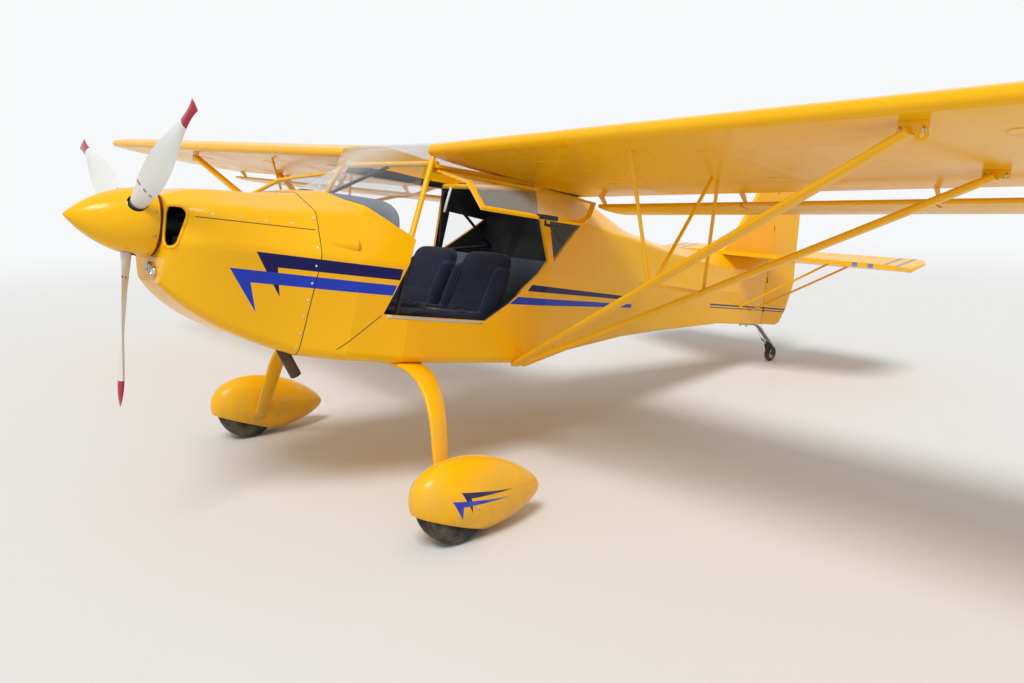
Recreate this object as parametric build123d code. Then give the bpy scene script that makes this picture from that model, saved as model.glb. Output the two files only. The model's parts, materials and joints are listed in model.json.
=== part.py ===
from build123d import *
import os
from math import acos, asin, atan2, cos, degrees, hypot, radians, sin, tan

os.makedirs("parts", exist_ok=True)

# Two-seat high-wing light aircraft on a tailwheel, doors raised and elevator held up.
# Drawn in its level frame: X to the aircraft's left, Y aft from the spinner's tip,
# Z up from the thrust line. The last step leans it back on its three wheels. Millimetres.

# Fits and clearances
running_fit = 0.05         # radial, between a shaft and its bore
moving_gap = 5             # between pieces that move past each other
pin_gap = 1                # between a hinge's cheeks and its eye

# Propeller
blade_reach = 799
blade_count = 3
blade_first = 4.5          # degrees, from straight down towards the left
disc_y = 258
hub_radius = 58
hub_front = 40             # hub ahead of the blades' plane
spinner_length = 345
spinner_radius = 150
spinner_skin = 3
spinner_plate = 8
blade_hole_gap = 4
shaft_radius = 20
shaft_length = 150
# one row a section: radius from the shaft, chord, thickness, pitch in degrees
blade_sections = [(50, 56, 54, 60), (150, 74, 40, 42), (260, 112, 20, 31), (520, 112, 13, 20), (blade_reach, 58, 5, 13)]

# Body skins
skin = 4
wall = 18
cowl_front = 362
cowl_rear = 940
cabin_rear = 2600
cabin_wall_end = 2700      # last section that the cabin's walls are drawn to
tail_end = 5235
# one row a section of the cowling: y, then half width and height of four corners from the top down, and rounding
cowl_sections = [
    (cowl_front, (95, 122), (190, 70), (232, -60), (130, -255), 50),
    (450, (130, 158), (275, 90), (318, -60), (175, -335), 70),
    (640, (150, 180), (335, 105), (392, -60), (240, -440), 75),
    (cowl_rear, (175, 212), (385, 130), (478, -60), (330, -537), 75),
]
# the same for the cabin and the rear fuselage
hull_sections = [
    (cowl_rear, (175, 212), (385, 130), (478, -60), (330, -537), 75),
    (1130, (190, 250), (420, 150), (520, -70), (430, -543), 60),
    (1400, (380, 440), (430, 380), (552, -60), (500, -544), 45),
    (2190, (385, 455), (440, 345), (549, -52), (498, -544), 45),
    (2280, (385, 455), (440, 330), (546, -50), (494, -531), 45),
    (2700, (300, 425), (432, 245), (468, -60), (412, -471), 40),
    (3200, (225, 265), (368, 212), (378, -40), (328, -402), 35),
    (3700, (120, 216), (262, 165), (285, -60), (240, -361), 25),
    (4500, (34, 217), (118, 120), (140, -60), (130, -303), 12),
    (tail_end, (13, 217), (22, 120), (26, -60), (22, -303), 5),
]
belly_z = -544

# Cowling openings
inlet_width, inlet_height, inlet_corner = 100, 165, 40
inlet_x, inlet_z, inlet_depth = 205, -2, 62
snout_radius, snout_front = 46, 400
snout_hole = 120

# Engine: one plain block, its gearbox and its mount
engine_width, engine_front, engine_rear = 400, 520, 890
engine_low, engine_high = -230, 62
engine_round = 30
mount_tube = 11
mount_x, mount_zs = 130, (-180, 20)
exhaust_radius, exhaust_x = 21, 55
exhaust_top, exhaust_tip = (760, -225), (925, -628)

# Windscreen, pillars, skylight and door opening, as (y, z) seen from the side
screen_base_front = (1076, 235)
screen_base_side = (1382, 65)
screen_base_half = 501
screen_top_half = 398
screen_thick = 4
pillar_foot = (499, 1384, 58)
pillar_top = (414, 1528, 462)
pillar_radius = 14
boot_seam = [(1088, -489), (1088, -700)]
door_outline = [(1524, 392), (1269, -307), (1874, -316), (2014, -221), (2277, 23), (2243, 270), (2225, 392)]
door_gap = 7               # clear edge between a door and its opening
door_hinge_x, door_hinge_z = 440, 404
door_top_x, door_belt_x, door_sill_x = 446, 574, 568
door_belt_z = -30
door_raised = 64           # degrees from shut, as it stands
door_edge = 24
door_frame_thick = 12
door_glass_thick = 3
door_hinge_ys = (1640, 2110)
rear_window = [(2325, 20), (2312, 262), (2585, 240)]
skylight_rear = 2300
skylight_thick = 4

# Cabin inside
panel_y, panel_thick, panel_low = 1290, 14, -170
shield_front, shield_rear, shield_thick = 1090, 1330, 5
shield_half, shield_side_z, shield_top_z = 540, 10, 222
floor_front, floor_rear, floor_z = 1110, 2180, -514
seat_in, seat_out = 22, 452
seat_front, seat_rear = 1480, 1950
seat_low, seat_top = -400, -285
back_top_y, back_top_z, back_thick = 2165, 50, 85
seat_round = 22
base_front, base_rear = 1500, 2060
bulkhead_y, bulkhead_thick, bulkhead_top = 2300, 8, 20
stick_x, stick_radius, grip_radius = 240, 9, 15
stick_foot_y, stick_top_y, stick_top_z, grip_length = 1430, 1400, -215, 110
cross_tube = 15
cross_front, cross_rear = (1545, 432), (2215, 405)

# Wing
half_span = 4562
wing_root_x = 402
wing_nose_y, wing_nose_z = 1503, 499      # at the root
wing_chord = 1160
wing_drop = 82                            # trailing edge below leading edge
wing_top, wing_top_at = 92, 330
wing_low, wing_low_at = 36, 260
wing_nose_radius = 29
wing_tail_thick = 8
dihedral = 2.19
# one row a section of the tip: share of the tip's length, share of the chord, share of the thickness
tip_length = 200
tip_sections = [(0.55, 0.94, 0.82), (0.9, 0.82, 0.5), (1, 0.7, 0.22)]
tip_aft = 0.35                            # share of the lost chord that the nose gives up

# Flaperon: hangs below and behind the wing
flap_chord = 246
flap_top, flap_low, flap_nose = 17, 13, 11
flap_crest = 80
flap_tail_thick = 4
flap_nose_y, flap_nose_z = 2643, 364      # at flap_in_x
flap_drop = 24
flap_in_x, flap_out_x = 500, 4350
flap_pivot = 52                           # hinge line behind its nose
hanger_first, hanger_pitch, hanger_count = 520, 920, 5
hanger_thick, hanger_eye = 6, 11
hanger_root_y, hanger_root = 2610, 50
hinge_pin_radius = 4

# Lift and jury struts
strut_foot_x, strut_foot_z = 489, -542
strut_top_x = 2706
front_foot_y, rear_foot_y = 2162, 2226
front_top_y, rear_top_y = 1592, 2284
front_top_drop, rear_top_drop = 67, 103   # below the leading edge's line
front_strut_chord, rear_strut_chord, strut_thick = 58, 50, 26
jury_x, jury_radius = 1561, 8
jury_front_y, jury_rear_y = 1640, 2250
eye_bore, eye_radius, eye_thick = 8, 20, 8
bracket_half, bracket_reach = 46, 30

# Undercarriage
track = 2076
wheel_y, wheel_z = 1368, -1067
tyre_radius, tyre_width, tyre_bulge = 180, 150, 128
rim_width, rim_seat, rim_flange = 124, 70, 86
rim_wall = 8
hub_width, hub_wheel_radius = 90, 28
axle_radius, axle_cap = 16, 23
disc_radius, disc_thick, disc_in = 78, 5, 81
leg_thick, leg_width = 22, 500
leg_root_x, leg_flat_x, leg_x = 200, 440, 934
leg_top_front, leg_top_rear = 1405, 1573
leg_foot_half, leg_foot_below = 34, 42
pant_nose_y, pant_z, pant_skin = 1143, -1040, 4
pant_length, pant_width, pant_height = 732, 254, 350
pant_widest = 200                         # widest place, behind the nose
pant_tail_arc, pant_tail_half = 760, 7
pant_hollow = 700                         # hollow up to here, solid in its tail
pant_mouth_half_y, pant_mouth_half_x, pant_mouth_z = 186, 82, -1128

# Tail
fin_outline = [(4500, 150), (4738, 369), (4936, 631), (5060, 850), (5115, 885), (5253, 885), (5253, 150)]
fin_thick = 34
rudder_axis_y, rudder_nose = 5272, 14
rudder_outline = [(5250, 885), (5470, 885), (5560, 850), (5640, 700), (5692, 50), (5617, -160), (5541, -276),
                  (5480, -300), (5250, -300)]
rudder_tail_thick, rudder_chord = 6, 425
rudder_hinge_zs = (-180, 60, 480, 780)
stab_z, stab_thick = 232, 30
stab_half, stab_front_x = 1172, 1080
stab_root_y, stab_tip_y, stab_corner_y = 4560, 4880, 4990
elevator_axis_y, elevator_nose = 5236, 14
elevator_chord, elevator_tail_thick = 356, 6
elevator_raised = 16       # degrees, as it stands
elevator_in_front, elevator_in_rear = 60, 215
elevator_hinge_xs = (150, 640, 1090)
torque_tube = 9
# stabiliser struts: foot y, z on the fuselage's side, then x, y under the stabiliser
stab_strut_radius = 8
stab_struts = [((60, 4800, -190), (760, 4830, 220)), ((60, 5020, -190), (760, 5120, 220))]

# Tailwheel
tailwheel_y, tailwheel_z = 5483, -541
tailwheel_radius, tailwheel_width, tailwheel_rim = 65, 42, 38
fork_y, fork_z = 5428, -452
fork_head_radius, fork_head_height, fork_pin = 16, 30, 6
fork_blade, fork_blade_width, fork_axle = 6, 24, 5
boss_radius, boss_height = 18, 12
spring_width, spring_thick = 36, 10
spring_front_y, spring_end_y, spring_end_z = 4990, 5414, -430
spring_slope, spring_bend = 33.4, 200

# How it stands: the floor touches the main wheels and the tailwheel
stand_angle = atan2(tailwheel_z - wheel_z, tailwheel_y - wheel_y) + asin(
    (tyre_radius - tailwheel_radius) / hypot(tailwheel_y - wheel_y, tailwheel_z - wheel_z))
stand_height = tyre_radius + wheel_y * sin(stand_angle) - wheel_z * cos(stand_angle)
mid_y = max(y * cos(stand_angle) + z * sin(stand_angle) for y, z in rudder_outline) / 2
ground = Pos(0, -mid_y, stand_height) * Rot(-degrees(stand_angle), 0, 0)

made = {}


def keep(name, *shapes):
    """One node: the solids given."""
    solids = [solid for shape in shapes for solid in shape.solids()]
    made[name] = solids


def pair(name, *shapes):
    """The left node as drawn and the right one mirrored."""
    keep(name + "_left", *shapes)
    keep(name + "_right", *[mirror(shape, about=Plane.YZ) for shape in shapes])


def keep_both(name, *shapes):
    """One node: the left shapes and their mirror images."""
    keep(name, *shapes, *[mirror(shape, about=Plane.YZ) for shape in shapes])


def arc_about(centre, start, end):
    """Arc of less than half a turn about a centre."""
    centre, start, end = Vector(*centre), Vector(*start), Vector(*end)
    middle = (start + end) * 0.5 - centre
    return ThreePointArc(start, centre + middle.normalized() * (start - centre).length, end)


def foil(chord, top, top_at, low, low_at, nose, tail):
    """Aerofoil in XY, nose at 0, chord along X: a nose circle, an arc to each crest and one to the tail."""
    touch, edges = {}, []
    for sign, height, at in ((1, top, top_at), (-1, low, low_at)):
        big = ((at - nose) ** 2 + height ** 2 - nose ** 2) / (2 * (height - nose))
        centre = Vector(at, sign * (height - big))
        touch[sign] = Vector(nose, 0) + (Vector(nose, 0) - centre).normalized() * nose
        crest = Vector(at, sign * height)
        drop = height - tail / 2
        rear = ((chord - at) ** 2 + drop ** 2) / (2 * drop)
        edges += [arc_about(centre, touch[sign], crest),
                  arc_about((at, sign * (height - rear)), crest, (chord, sign * tail / 2))]
    edges += [ThreePointArc(touch[1], (0, 0), touch[-1]), Line((chord, tail / 2), (chord, -tail / 2))]
    return Face(Wire(edges))


def across(y):
    """Plane across the fuselage: its x is X and its y is Z."""
    return Plane(origin=(0, y, 0), x_dir=(1, 0, 0), z_dir=(0, -1, 0))


def side_plane(x=0):
    """Plane along the fuselage: its x is Y and its y is Z."""
    return Plane(origin=(x, 0, 0), x_dir=(0, 1, 0), z_dir=(1, 0, 0))


def body_section(row, inset=0):
    """Rounded section of the body, drawn inwards by the inset."""
    y, *corners, rounding = row
    points = corners + [(-x, z) for x, z in reversed(corners)]
    face = Face(Wire(FilletPolyline(*points, radius=rounding, close=True).edges()))
    if inset:
        face = offset(face, amount=-inset).face()
    return across(y) * face


def body(rows, inset=0, ruled=True):
    """Body through its sections, drawn inwards by the inset."""
    return loft([body_section(row, inset) for row in rows], ruled=ruled)


def side_prism(outline, x0, x1):
    """Outline seen from the side, carried across from x0 to x1."""
    return extrude(side_plane(x0) * make_face(Polyline(*outline, close=True)), x1 - x0, dir=(1, 0, 0))


def block(x0, x1, y0, y1, z0, z1):
    """Box between two corners."""
    return Pos((x0 + x1) / 2, (y0 + y1) / 2, (z0 + z1) / 2) * Box(x1 - x0, y1 - y0, z1 - z0)


def rod(start, end, radius):
    """Round bar between two points."""
    start, end = Vector(*start), Vector(*end)
    return extrude(Plane(origin=start, z_dir=end - start) * Circle(radius), (end - start).length, dir=end - start)


def turned(points):
    """Turned about X from a closed outline of (x, radius) points."""
    return revolve(make_face(Polyline(*points, close=True)), Axis.X)


def hinge(place, eye_arm, fork_arm):
    """Pin hinge about the place's z, its eye towards x and its fork towards -x: fork, eye and notch."""
    eye_half, cheek, radius, arm_half = 9, 5, 9, 4
    reach = eye_half + pin_gap + cheek
    bore = Cylinder(hinge_pin_radius + running_fit, 4 * reach)
    eye = Cylinder(radius, 2 * eye_half) + block(0, eye_arm, -arm_half, arm_half, -eye_half, eye_half) - bore
    fork = Cylinder(hinge_pin_radius, 2 * reach)
    for z in (-reach, eye_half + pin_gap):
        fork += Pos(0, 0, z + cheek / 2) * Cylinder(radius, cheek)
        fork += block(-fork_arm, 0, -arm_half, arm_half, z, z + cheek)
    notch = Cylinder(radius + moving_gap + 2, 2 * (reach + moving_gap))
    return place * fork, place * eye, place * notch


# Propeller
spinner_arc = (spinner_radius ** 2 + spinner_length ** 2) / (2 * spinner_radius)


def ogive(skin_off, length):
    """Spinner's form, drawn inwards by a skin."""
    centre = (spinner_radius - spinner_arc, spinner_length)
    radius = spinner_arc - skin_off
    tip = spinner_length - (radius ** 2 - centre[0] ** 2) ** 0.5
    rim = (centre[0] + radius, spinner_length)
    face = Face(Wire([arc_about(centre, (0, tip), rim), Line(rim, (0, spinner_length)),
                      Line((0, spinner_length), (0, tip))]))
    return revolve(face, Axis.Y)


def blade_plane(angle, radius, pitch):
    """Plane across a blade: its x points from the trailing to the leading edge."""
    out = Vector(sin(radians(angle)), 0, cos(radians(angle)))
    turn = Vector(-cos(radians(angle)), 0, sin(radians(angle)))
    chord = turn * cos(radians(pitch)) + Vector(0, -1, 0) * sin(radians(pitch))
    return Plane(origin=Vector(0, disc_y, 0) + out * radius, x_dir=chord, z_dir=out)


def blade_section(chord, thick):
    """Blade section of two arcs, thicker on its front."""
    ends = (-chord / 2, 0), (chord / 2, 0)
    return Face(Wire([ThreePointArc(ends[0], (0, thick / 2), ends[1]), ThreePointArc(ends[1], (0, -thick / 2), ends[0])]))


plate_y = spinner_length - spinner_plate
propeller = Pos(0, (disc_y - hub_front + plate_y) / 2, 0) * Rot(90, 0, 0) * Cylinder(hub_radius, plate_y - disc_y + hub_front)
propeller += rod((0, plate_y, 0), (0, spinner_length + shaft_length, 0), shaft_radius)
blade_holes = []
for number in range(blade_count):
    angle = 180 - blade_first - number * 360 / blade_count
    sections = [blade_plane(angle, radius, pitch) * blade_section(chord, thick)
                for radius, chord, thick, pitch in blade_sections]
    propeller += loft(sections)
    root = blade_plane(angle, blade_sections[0][0], blade_sections[0][3])
    hole = blade_sections[1][1] / 2 + blade_hole_gap
    blade_holes.append(extrude(root * Circle(hole), spinner_radius, dir=root.z_dir))
keep("propeller_blades", propeller)
spinner = ogive(0, spinner_length) - (ogive(spinner_skin, spinner_length) & block(-200, 200, -9, plate_y, -200, 200))
spinner -= rod((0, plate_y - 1, 0), (0, spinner_length + 1, 0), shaft_radius)
for hole in blade_holes:
    spinner -= hole & block(-200, 200, 0, plate_y, -200, 200)
keep("spinner", spinner)

# Engine, its cowling and the firewall
engine_core = fillet(block(-engine_width / 2, engine_width / 2, engine_front, engine_rear, engine_low, engine_high).edges(),
                     engine_round)
engine = engine_core + rod((0, snout_front, 0), (0, engine_front + engine_round, 0), snout_radius)
for x in (-mount_x, mount_x):
    for z in mount_zs:
        engine += rod((x, engine_rear - engine_round, z), (x, cowl_rear, z), mount_tube)
engine -= rod((0, snout_front - 1, 0), (0, spinner_length + shaft_length + moving_gap, 0), shaft_radius + running_fit)
keep("engine_block", engine)
exhaust_path = (exhaust_x, *exhaust_top), (exhaust_x, *exhaust_tip)
exhaust = rod(*exhaust_path, exhaust_radius) - engine
keep("exhaust_pipe", exhaust.solids().sort_by(Axis.Z)[0])

cowl_inner_rows = [(cowl_front + skin, *cowl_sections[0][1:])] + cowl_sections[1:]
cowl = body(cowl_sections, ruled=False) - body(cowl_inner_rows, skin, ruled=False)
cowl -= rod((0, cowl_front - 5, 0), (0, cowl_front + 20, 0), snout_hole / 2)
for x in (-inlet_x, inlet_x):
    cut = Pos(x, inlet_z) * RectangleRounded(inlet_width, inlet_height, inlet_corner)
    cowl -= extrude(across(cowl_front + inlet_depth) * cut, inlet_depth + 10, dir=(0, -1, 0))
cowl -= rod(*exhaust_path, exhaust_radius + moving_gap) & block(-300, 300, 300, cowl_rear - 1, -700, -300)
keep("engine_cowl", cowl)

# Fuselage
hull = body(hull_sections)
hull_in_skin = body(hull_sections, skin)
hull_in_wall = body([row for row in hull_sections if row[0] <= cabin_wall_end], wall)
slope = (door_outline[0][0] - door_outline[1][0]) / (door_outline[0][1] - door_outline[1][1])
seam_top = (door_outline[1][0] + slope * (700 - door_outline[1][1]), 700)
seam = [seam_top, door_outline[1]] + boot_seam
fore_zone = side_prism([(cowl_rear, 700)] + seam + [(cowl_rear, -700)], -700, 700)
aft_zone = side_prism(seam + [(cabin_rear, -700), (cabin_rear, 700)], -700, 700)
base_slope = (screen_base_side[1] - screen_base_front[1]) / (screen_base_side[0] - screen_base_front[0])
base_line = [(800, screen_base_front[1] + base_slope * (800 - screen_base_front[0])),
             (1700, screen_base_front[1] + base_slope * (1700 - screen_base_front[0]))]
above_base = side_prism(base_line + [(1700, 900), (800, 900)], -700, 700)

pillars = [rod((sign * pillar_foot[0], *pillar_foot[1:]), (sign * pillar_top[0], *pillar_top[1:]), pillar_radius)
           for sign in (1, -1)]
boot = ((hull - hull_in_skin) & fore_zone) - above_base
for pillar in pillars:
    boot -= pillar
keep("boot_cowl", boot.solids().sort_by(SortBy.VOLUME)[-1])
keep("firewall", hull_in_skin & block(-600, 600, cowl_rear, cowl_rear + skin, -700, 400))

# Wing
wing_pitch = atan2(wing_drop, wing_chord)
span_way = Vector(cos(radians(dihedral)), 0, sin(radians(dihedral)))
root_foil = foil(wing_chord, wing_top, wing_top_at, wing_low, wing_low_at, wing_nose_radius, wing_tail_thick)


def wing_plane(x, y=wing_nose_y, z=wing_nose_z, x0=wing_root_x, pitch=wing_pitch):
    """Plane of a wing rib at x: its x runs aft along the chord and its y is up."""
    rise = (abs(x) - x0) * tan(radians(dihedral))
    return Plane(origin=(x, y, z + rise), x_dir=(0, cos(pitch), -sin(pitch)), z_dir=(1, 0, 0))


def wing_under(x, y):
    """Height of the wing's chord line at x and y."""
    return wing_nose_z + (abs(x) - wing_root_x) * tan(radians(dihedral)) - (y - wing_nose_y) * tan(wing_pitch)


tip_start = half_span - tip_length
wing = extrude(wing_plane(wing_root_x) * root_foil, (tip_start - wing_root_x) / cos(radians(dihedral)), dir=span_way)
tip_faces = [wing_plane(tip_start) * root_foil]
for along, chord_share, thick_share in tip_sections:
    small = foil(wing_chord * chord_share, wing_top * thick_share, wing_top_at * chord_share, wing_low * thick_share,
                 wing_low_at * chord_share, wing_nose_radius * thick_share, wing_tail_thick * thick_share)
    back = Pos(wing_chord * (1 - chord_share) * tip_aft, 0) * small
    tip_faces.append(wing_plane(tip_start + tip_length * along) * back)
wing += loft(tip_faces)

# Flaperon with its hangers
flap_face = foil(flap_chord, flap_top, flap_crest, flap_low, flap_crest, flap_nose, flap_tail_thick)
flap_tilt = atan2(flap_drop, flap_chord)


def flap_plane(x):
    """Plane of the flaperon at x, its origin at the nose."""
    return wing_plane(x, flap_nose_y, flap_nose_z, flap_in_x, flap_tilt)


flap = extrude(flap_plane(flap_in_x) * flap_face, (flap_out_x - flap_in_x) / cos(radians(dihedral)), dir=span_way)
slot_half = hanger_thick / 2 + moving_gap
hangers = Part()
for number in range(hanger_count):
    x = hanger_first + number * hanger_pitch
    pivot = flap_plane(x).from_local_coords(Vector(flap_pivot, 0, 0))
    eye = extrude(Plane(origin=(x - hanger_thick / 2, pivot.Y, pivot.Z), z_dir=(1, 0, 0)) * Circle(hanger_eye),
                  hanger_thick, dir=(1, 0, 0))
    root_z = wing_under(x, hanger_root_y + hanger_root)
    arm = side_prism([(hanger_root_y, root_z), (hanger_root_y + hanger_root, root_z), (pivot.Y + hanger_eye, pivot.Z),
                      (pivot.Y - hanger_eye, pivot.Z)], x - hanger_thick / 2, x + hanger_thick / 2)
    pin = rod(pivot - span_way * (slot_half + 8), pivot + span_way * (slot_half + 8), hinge_pin_radius)
    bore = rod(pivot - span_way * 40, pivot + span_way * 40, hinge_pin_radius + running_fit)
    wing += eye + arm - bore
    slot = block(x - slot_half, x + slot_half, flap_nose_y - 40, pivot.Y + hanger_eye + moving_gap, pivot.Z - 60, pivot.Z + 60)
    flap = flap - slot + pin
pair("wing", wing)
pair("flaperon", flap)
wings = [wing, mirror(wing, about=Plane.YZ)]

# Roof between the wings: clear skylight in front, fairing behind
roof_half = wing_root_x - 3
roof_form = extrude(wing_plane(-roof_half, x0=roof_half) * root_foil, 2 * roof_half, dir=(1, 0, 0))
roof_inner = extrude(wing_plane(-roof_half - 1, x0=roof_half) * offset(root_foil, amount=-skylight_thick).face(),
                     2 * roof_half + 2, dir=(1, 0, 0))
upper = side_prism([(wing_nose_y - 50, wing_nose_z + 4), (skylight_rear, wing_under(roof_half, skylight_rear)),
                    (skylight_rear, 900), (wing_nose_y - 50, 900)], -700, 700)
keep("skylight", (roof_form - roof_inner) & upper)
rear_roof = roof_form & block(-roof_half, roof_half, skylight_rear, 2900, 0, 900)
keep("roof_fairing", (rear_roof - hull).solids().sort_by(SortBy.VOLUME)[-1])

door_cut = side_prism(door_outline, -700, 700)
window_cut = side_prism(rear_window, -700, 700)
cabin_shell = ((hull - hull_in_wall) & aft_zone) - door_cut - window_cut - block(-384, 384, 1300, skylight_rear, 300, 600)
cabin_shell -= roof_form & block(-roof_half, roof_half, 1300, skylight_rear, 0, 900)
for solid in wings + pillars:
    cabin_shell -= solid
leg_path = FilletPolyline((leg_root_x, belly_z - leg_thick / 2), (leg_x, belly_z - leg_thick / 2),
                          (leg_x, wheel_z - leg_foot_below), radius=leg_x - leg_flat_x)
hinge_forks, eyes = [], []
for y in door_hinge_ys:
    fork, eye, notch = hinge(Plane(origin=(door_hinge_x, y, door_hinge_z), x_dir=(0, 0, -1), z_dir=(0, 1, 0)).location, 26, 26)
    eyes.append(eye)
    hinge_forks.append(fork)
keep("cabin_shell", cabin_shell.solids().sort_by(SortBy.VOLUME)[-1])

rail = block(380, door_hinge_x + 6, 1540, 2212, door_hinge_z + 10, door_hinge_z + 26) - hull - roof_form - wing - pillars[0]
rail = rail.solids().sort_by(SortBy.VOLUME)[-1]
for fork in hinge_forks:
    rail = rail + (fork - hull - wing)
keep_both("door_rails", rail)

# Windscreen, seated on the cowling, pillars and wings
base_arc = ThreePointArc((-screen_base_half, *screen_base_side), (0, *screen_base_front), (screen_base_half, *screen_base_side))
top_arc = ThreePointArc((-screen_top_half, wing_nose_y - 2, wing_nose_z - 2), (0, wing_nose_y - 12, wing_nose_z + 8),
                        (screen_top_half, wing_nose_y - 2, wing_nose_z - 2))
screen = thicken(Face.make_surface_from_curves(base_arc.edge(), top_arc.edge()), screen_thick)
for solid in [boot, roof_form] + wings + pillars:
    screen -= solid
keep("windshield", screen.solids().sort_by(SortBy.VOLUME)[-1])

# Rear fuselage, solid inside, and its side windows
rear_zone = block(-700, 700, cabin_rear, tail_end + 1, -700, 700)
rear_hull = hull & rear_zone
pane = ((hull - hull_in_skin) & window_cut) - roof_form
for solid in wings:
    pane -= solid
keep("rear_windows", pane)

# Doors, drawn shut and then raised
door_profile = [(door_top_x, door_outline[0][1]), (door_belt_x, door_belt_z), (door_sill_x, door_outline[2][1] - 20)]


def door_band(outer, inner):
    """Bent sheet along the cabin's side between two depths in from the door's outer face."""
    points = [(x - outer, z) for x, z in door_profile] + [(x - inner, z) for x, z in reversed(door_profile)]
    return extrude(across(2400) * make_face(Polyline(*points, close=True)), 1300, dir=(0, -1, 0))


outline_face = make_face(Polyline(*door_outline, close=True))
door_shape = extrude(side_plane(300) * offset(outline_face, amount=-door_gap, kind=Kind.INTERSECTION), 400, dir=(1, 0, 0))
door_light = extrude(side_plane(300) * offset(outline_face, amount=-door_gap - door_edge, kind=Kind.INTERSECTION), 400,
                     dir=(1, 0, 0))
door_frame = (door_band(0, door_frame_thick) & door_shape) - door_light
for eye in eyes:
    door_frame += eye
glass_in = (door_frame_thick - door_glass_thick) / 2
door_glass = door_band(glass_in, glass_in + door_glass_thick) & door_light
raise_door = Pos(door_hinge_x, 0, door_hinge_z) * Rot(0, -door_raised, 0) * Pos(-door_hinge_x, 0, -door_hinge_z)
pair("door_frame", raise_door * door_frame)
pair("door_glass", raise_door * door_glass)

# Cabin inside
arch = Face(Wire([ThreePointArc((-shield_half, shield_side_z), (0, shield_top_z), (shield_half, shield_side_z)),
                  Line((shield_half, shield_side_z), (shield_half, panel_low)),
                  Line((shield_half, panel_low), (-shield_half, panel_low)),
                  Line((-shield_half, panel_low), (-shield_half, shield_side_z))]))
shell_arch = extrude(across(shield_rear) * arch, shield_rear - shield_front, dir=(0, -1, 0))
lower_arch = Pos(0, 0, -shield_thick) * shell_arch
panel = extrude(across(panel_y + panel_thick) * arch, panel_thick, dir=(0, -1, 0)) + ((shell_arch - lower_arch) & block(
    -700, 700, 900, 1500, shield_side_z - 120, 400))
panel = (panel & hull_in_skin) - pillars[0] - pillars[1]
keep("instrument_panel", panel.solids().sort_by(SortBy.VOLUME)[-1])
keep("floor_pan", hull_in_wall & block(-600, 600, floor_front, floor_rear, -600, floor_z))
keep("rear_bulkhead", hull_in_wall & block(-600, 600, bulkhead_y, bulkhead_y + bulkhead_thick, floor_z, bulkhead_top))
seat_outline = [(seat_front, seat_low), (seat_front, seat_top), (seat_rear - 25, seat_top - 25),
                (back_top_y - back_thick, back_top_z), (back_top_y, back_top_z), (base_rear - 20, seat_low)]
seat = side_prism(seat_outline, seat_in, seat_out)
seat = fillet(seat.edges().filter_by(Axis.X), seat_round)
pair("seat", seat)
keep("seat_base", block(-seat_out, seat_out, base_front, base_rear, floor_z, seat_low))
stick = rod((stick_x, stick_foot_y, floor_z), (stick_x, stick_top_y, stick_top_z), stick_radius)
stick_way = Vector(0, stick_top_y - stick_foot_y, stick_top_z - floor_z).normalized()
grip_foot = Vector(stick_x, stick_top_y, stick_top_z)
stick += rod(grip_foot - stick_way * 5, grip_foot + stick_way * grip_length, grip_radius)
stick &= block(0, 500, 1000, 2000, floor_z, 400)
keep_both("control_sticks", stick)
tubes = []
for y, z in (cross_front, cross_rear):
    tube = rod((-430, y, z), (430, y, z), cross_tube)
    for solid in [cabin_shell, rail, mirror(rail, about=Plane.YZ)] + wings + pillars:
        tube -= solid
    tubes.append(tube.solids().sort_by(SortBy.VOLUME)[-1])
keep("cabin_frame", *[pillar - wing_solid - roof_form for pillar, wing_solid in zip(pillars, wings)], *tubes)

# Lift struts with their brackets and jury struts
struts, brackets = [], []
for foot_y, top_y, chord, drop in ((front_foot_y, front_top_y, front_strut_chord, front_top_drop),
                                   (rear_foot_y, rear_top_y, rear_strut_chord, rear_top_drop)):
    foot = Vector(strut_foot_x, foot_y, strut_foot_z)
    top_z = wing_nose_z + (strut_top_x - wing_root_x) * tan(radians(dihedral)) - drop
    top = Vector(strut_top_x, top_y, top_z)
    way = (top - foot).normalized()
    strut = extrude(Plane(origin=foot - way * 20, x_dir=(0, 1, 0), z_dir=way) * SlotOverall(chord, strut_thick),
                    (top - foot).length + 20, dir=way)
    bracket = block(strut_top_x - bracket_half, strut_top_x + bracket_half, top_y - eye_thick / 2, top_y + eye_thick / 2,
                    top_z - 8, top_z + 90)
    if foot_y == front_foot_y:
        eye_at = Plane(origin=(strut_top_x + bracket_reach, top_y + eye_thick / 2, top_z - 14), z_dir=(0, -1, 0))
        bracket += extrude(eye_at * Circle(eye_radius), eye_thick, dir=(0, -1, 0))
        bracket -= extrude(eye_at * Circle(eye_bore), eye_thick, dir=(0, -1, 0))
    bracket -= wing
    strut = strut - bracket - hull - wing
    struts.append(strut.solids().sort_by(SortBy.VOLUME)[-1])
    brackets.append(bracket.solids().sort_by(SortBy.VOLUME)[-1])
pair("front_strut", struts[0])
pair("rear_strut", struts[1])
keep_both("strut_brackets", *brackets)


def on_strut(foot_y, top_y, drop, x):
    """Point on a strut's axis at x."""
    share = (x - strut_foot_x) / (strut_top_x - strut_foot_x)
    top_z = wing_nose_z + (strut_top_x - wing_root_x) * tan(radians(dihedral)) - drop
    return foot_y + share * (top_y - foot_y), strut_foot_z + share * (top_z - strut_foot_z)


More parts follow.
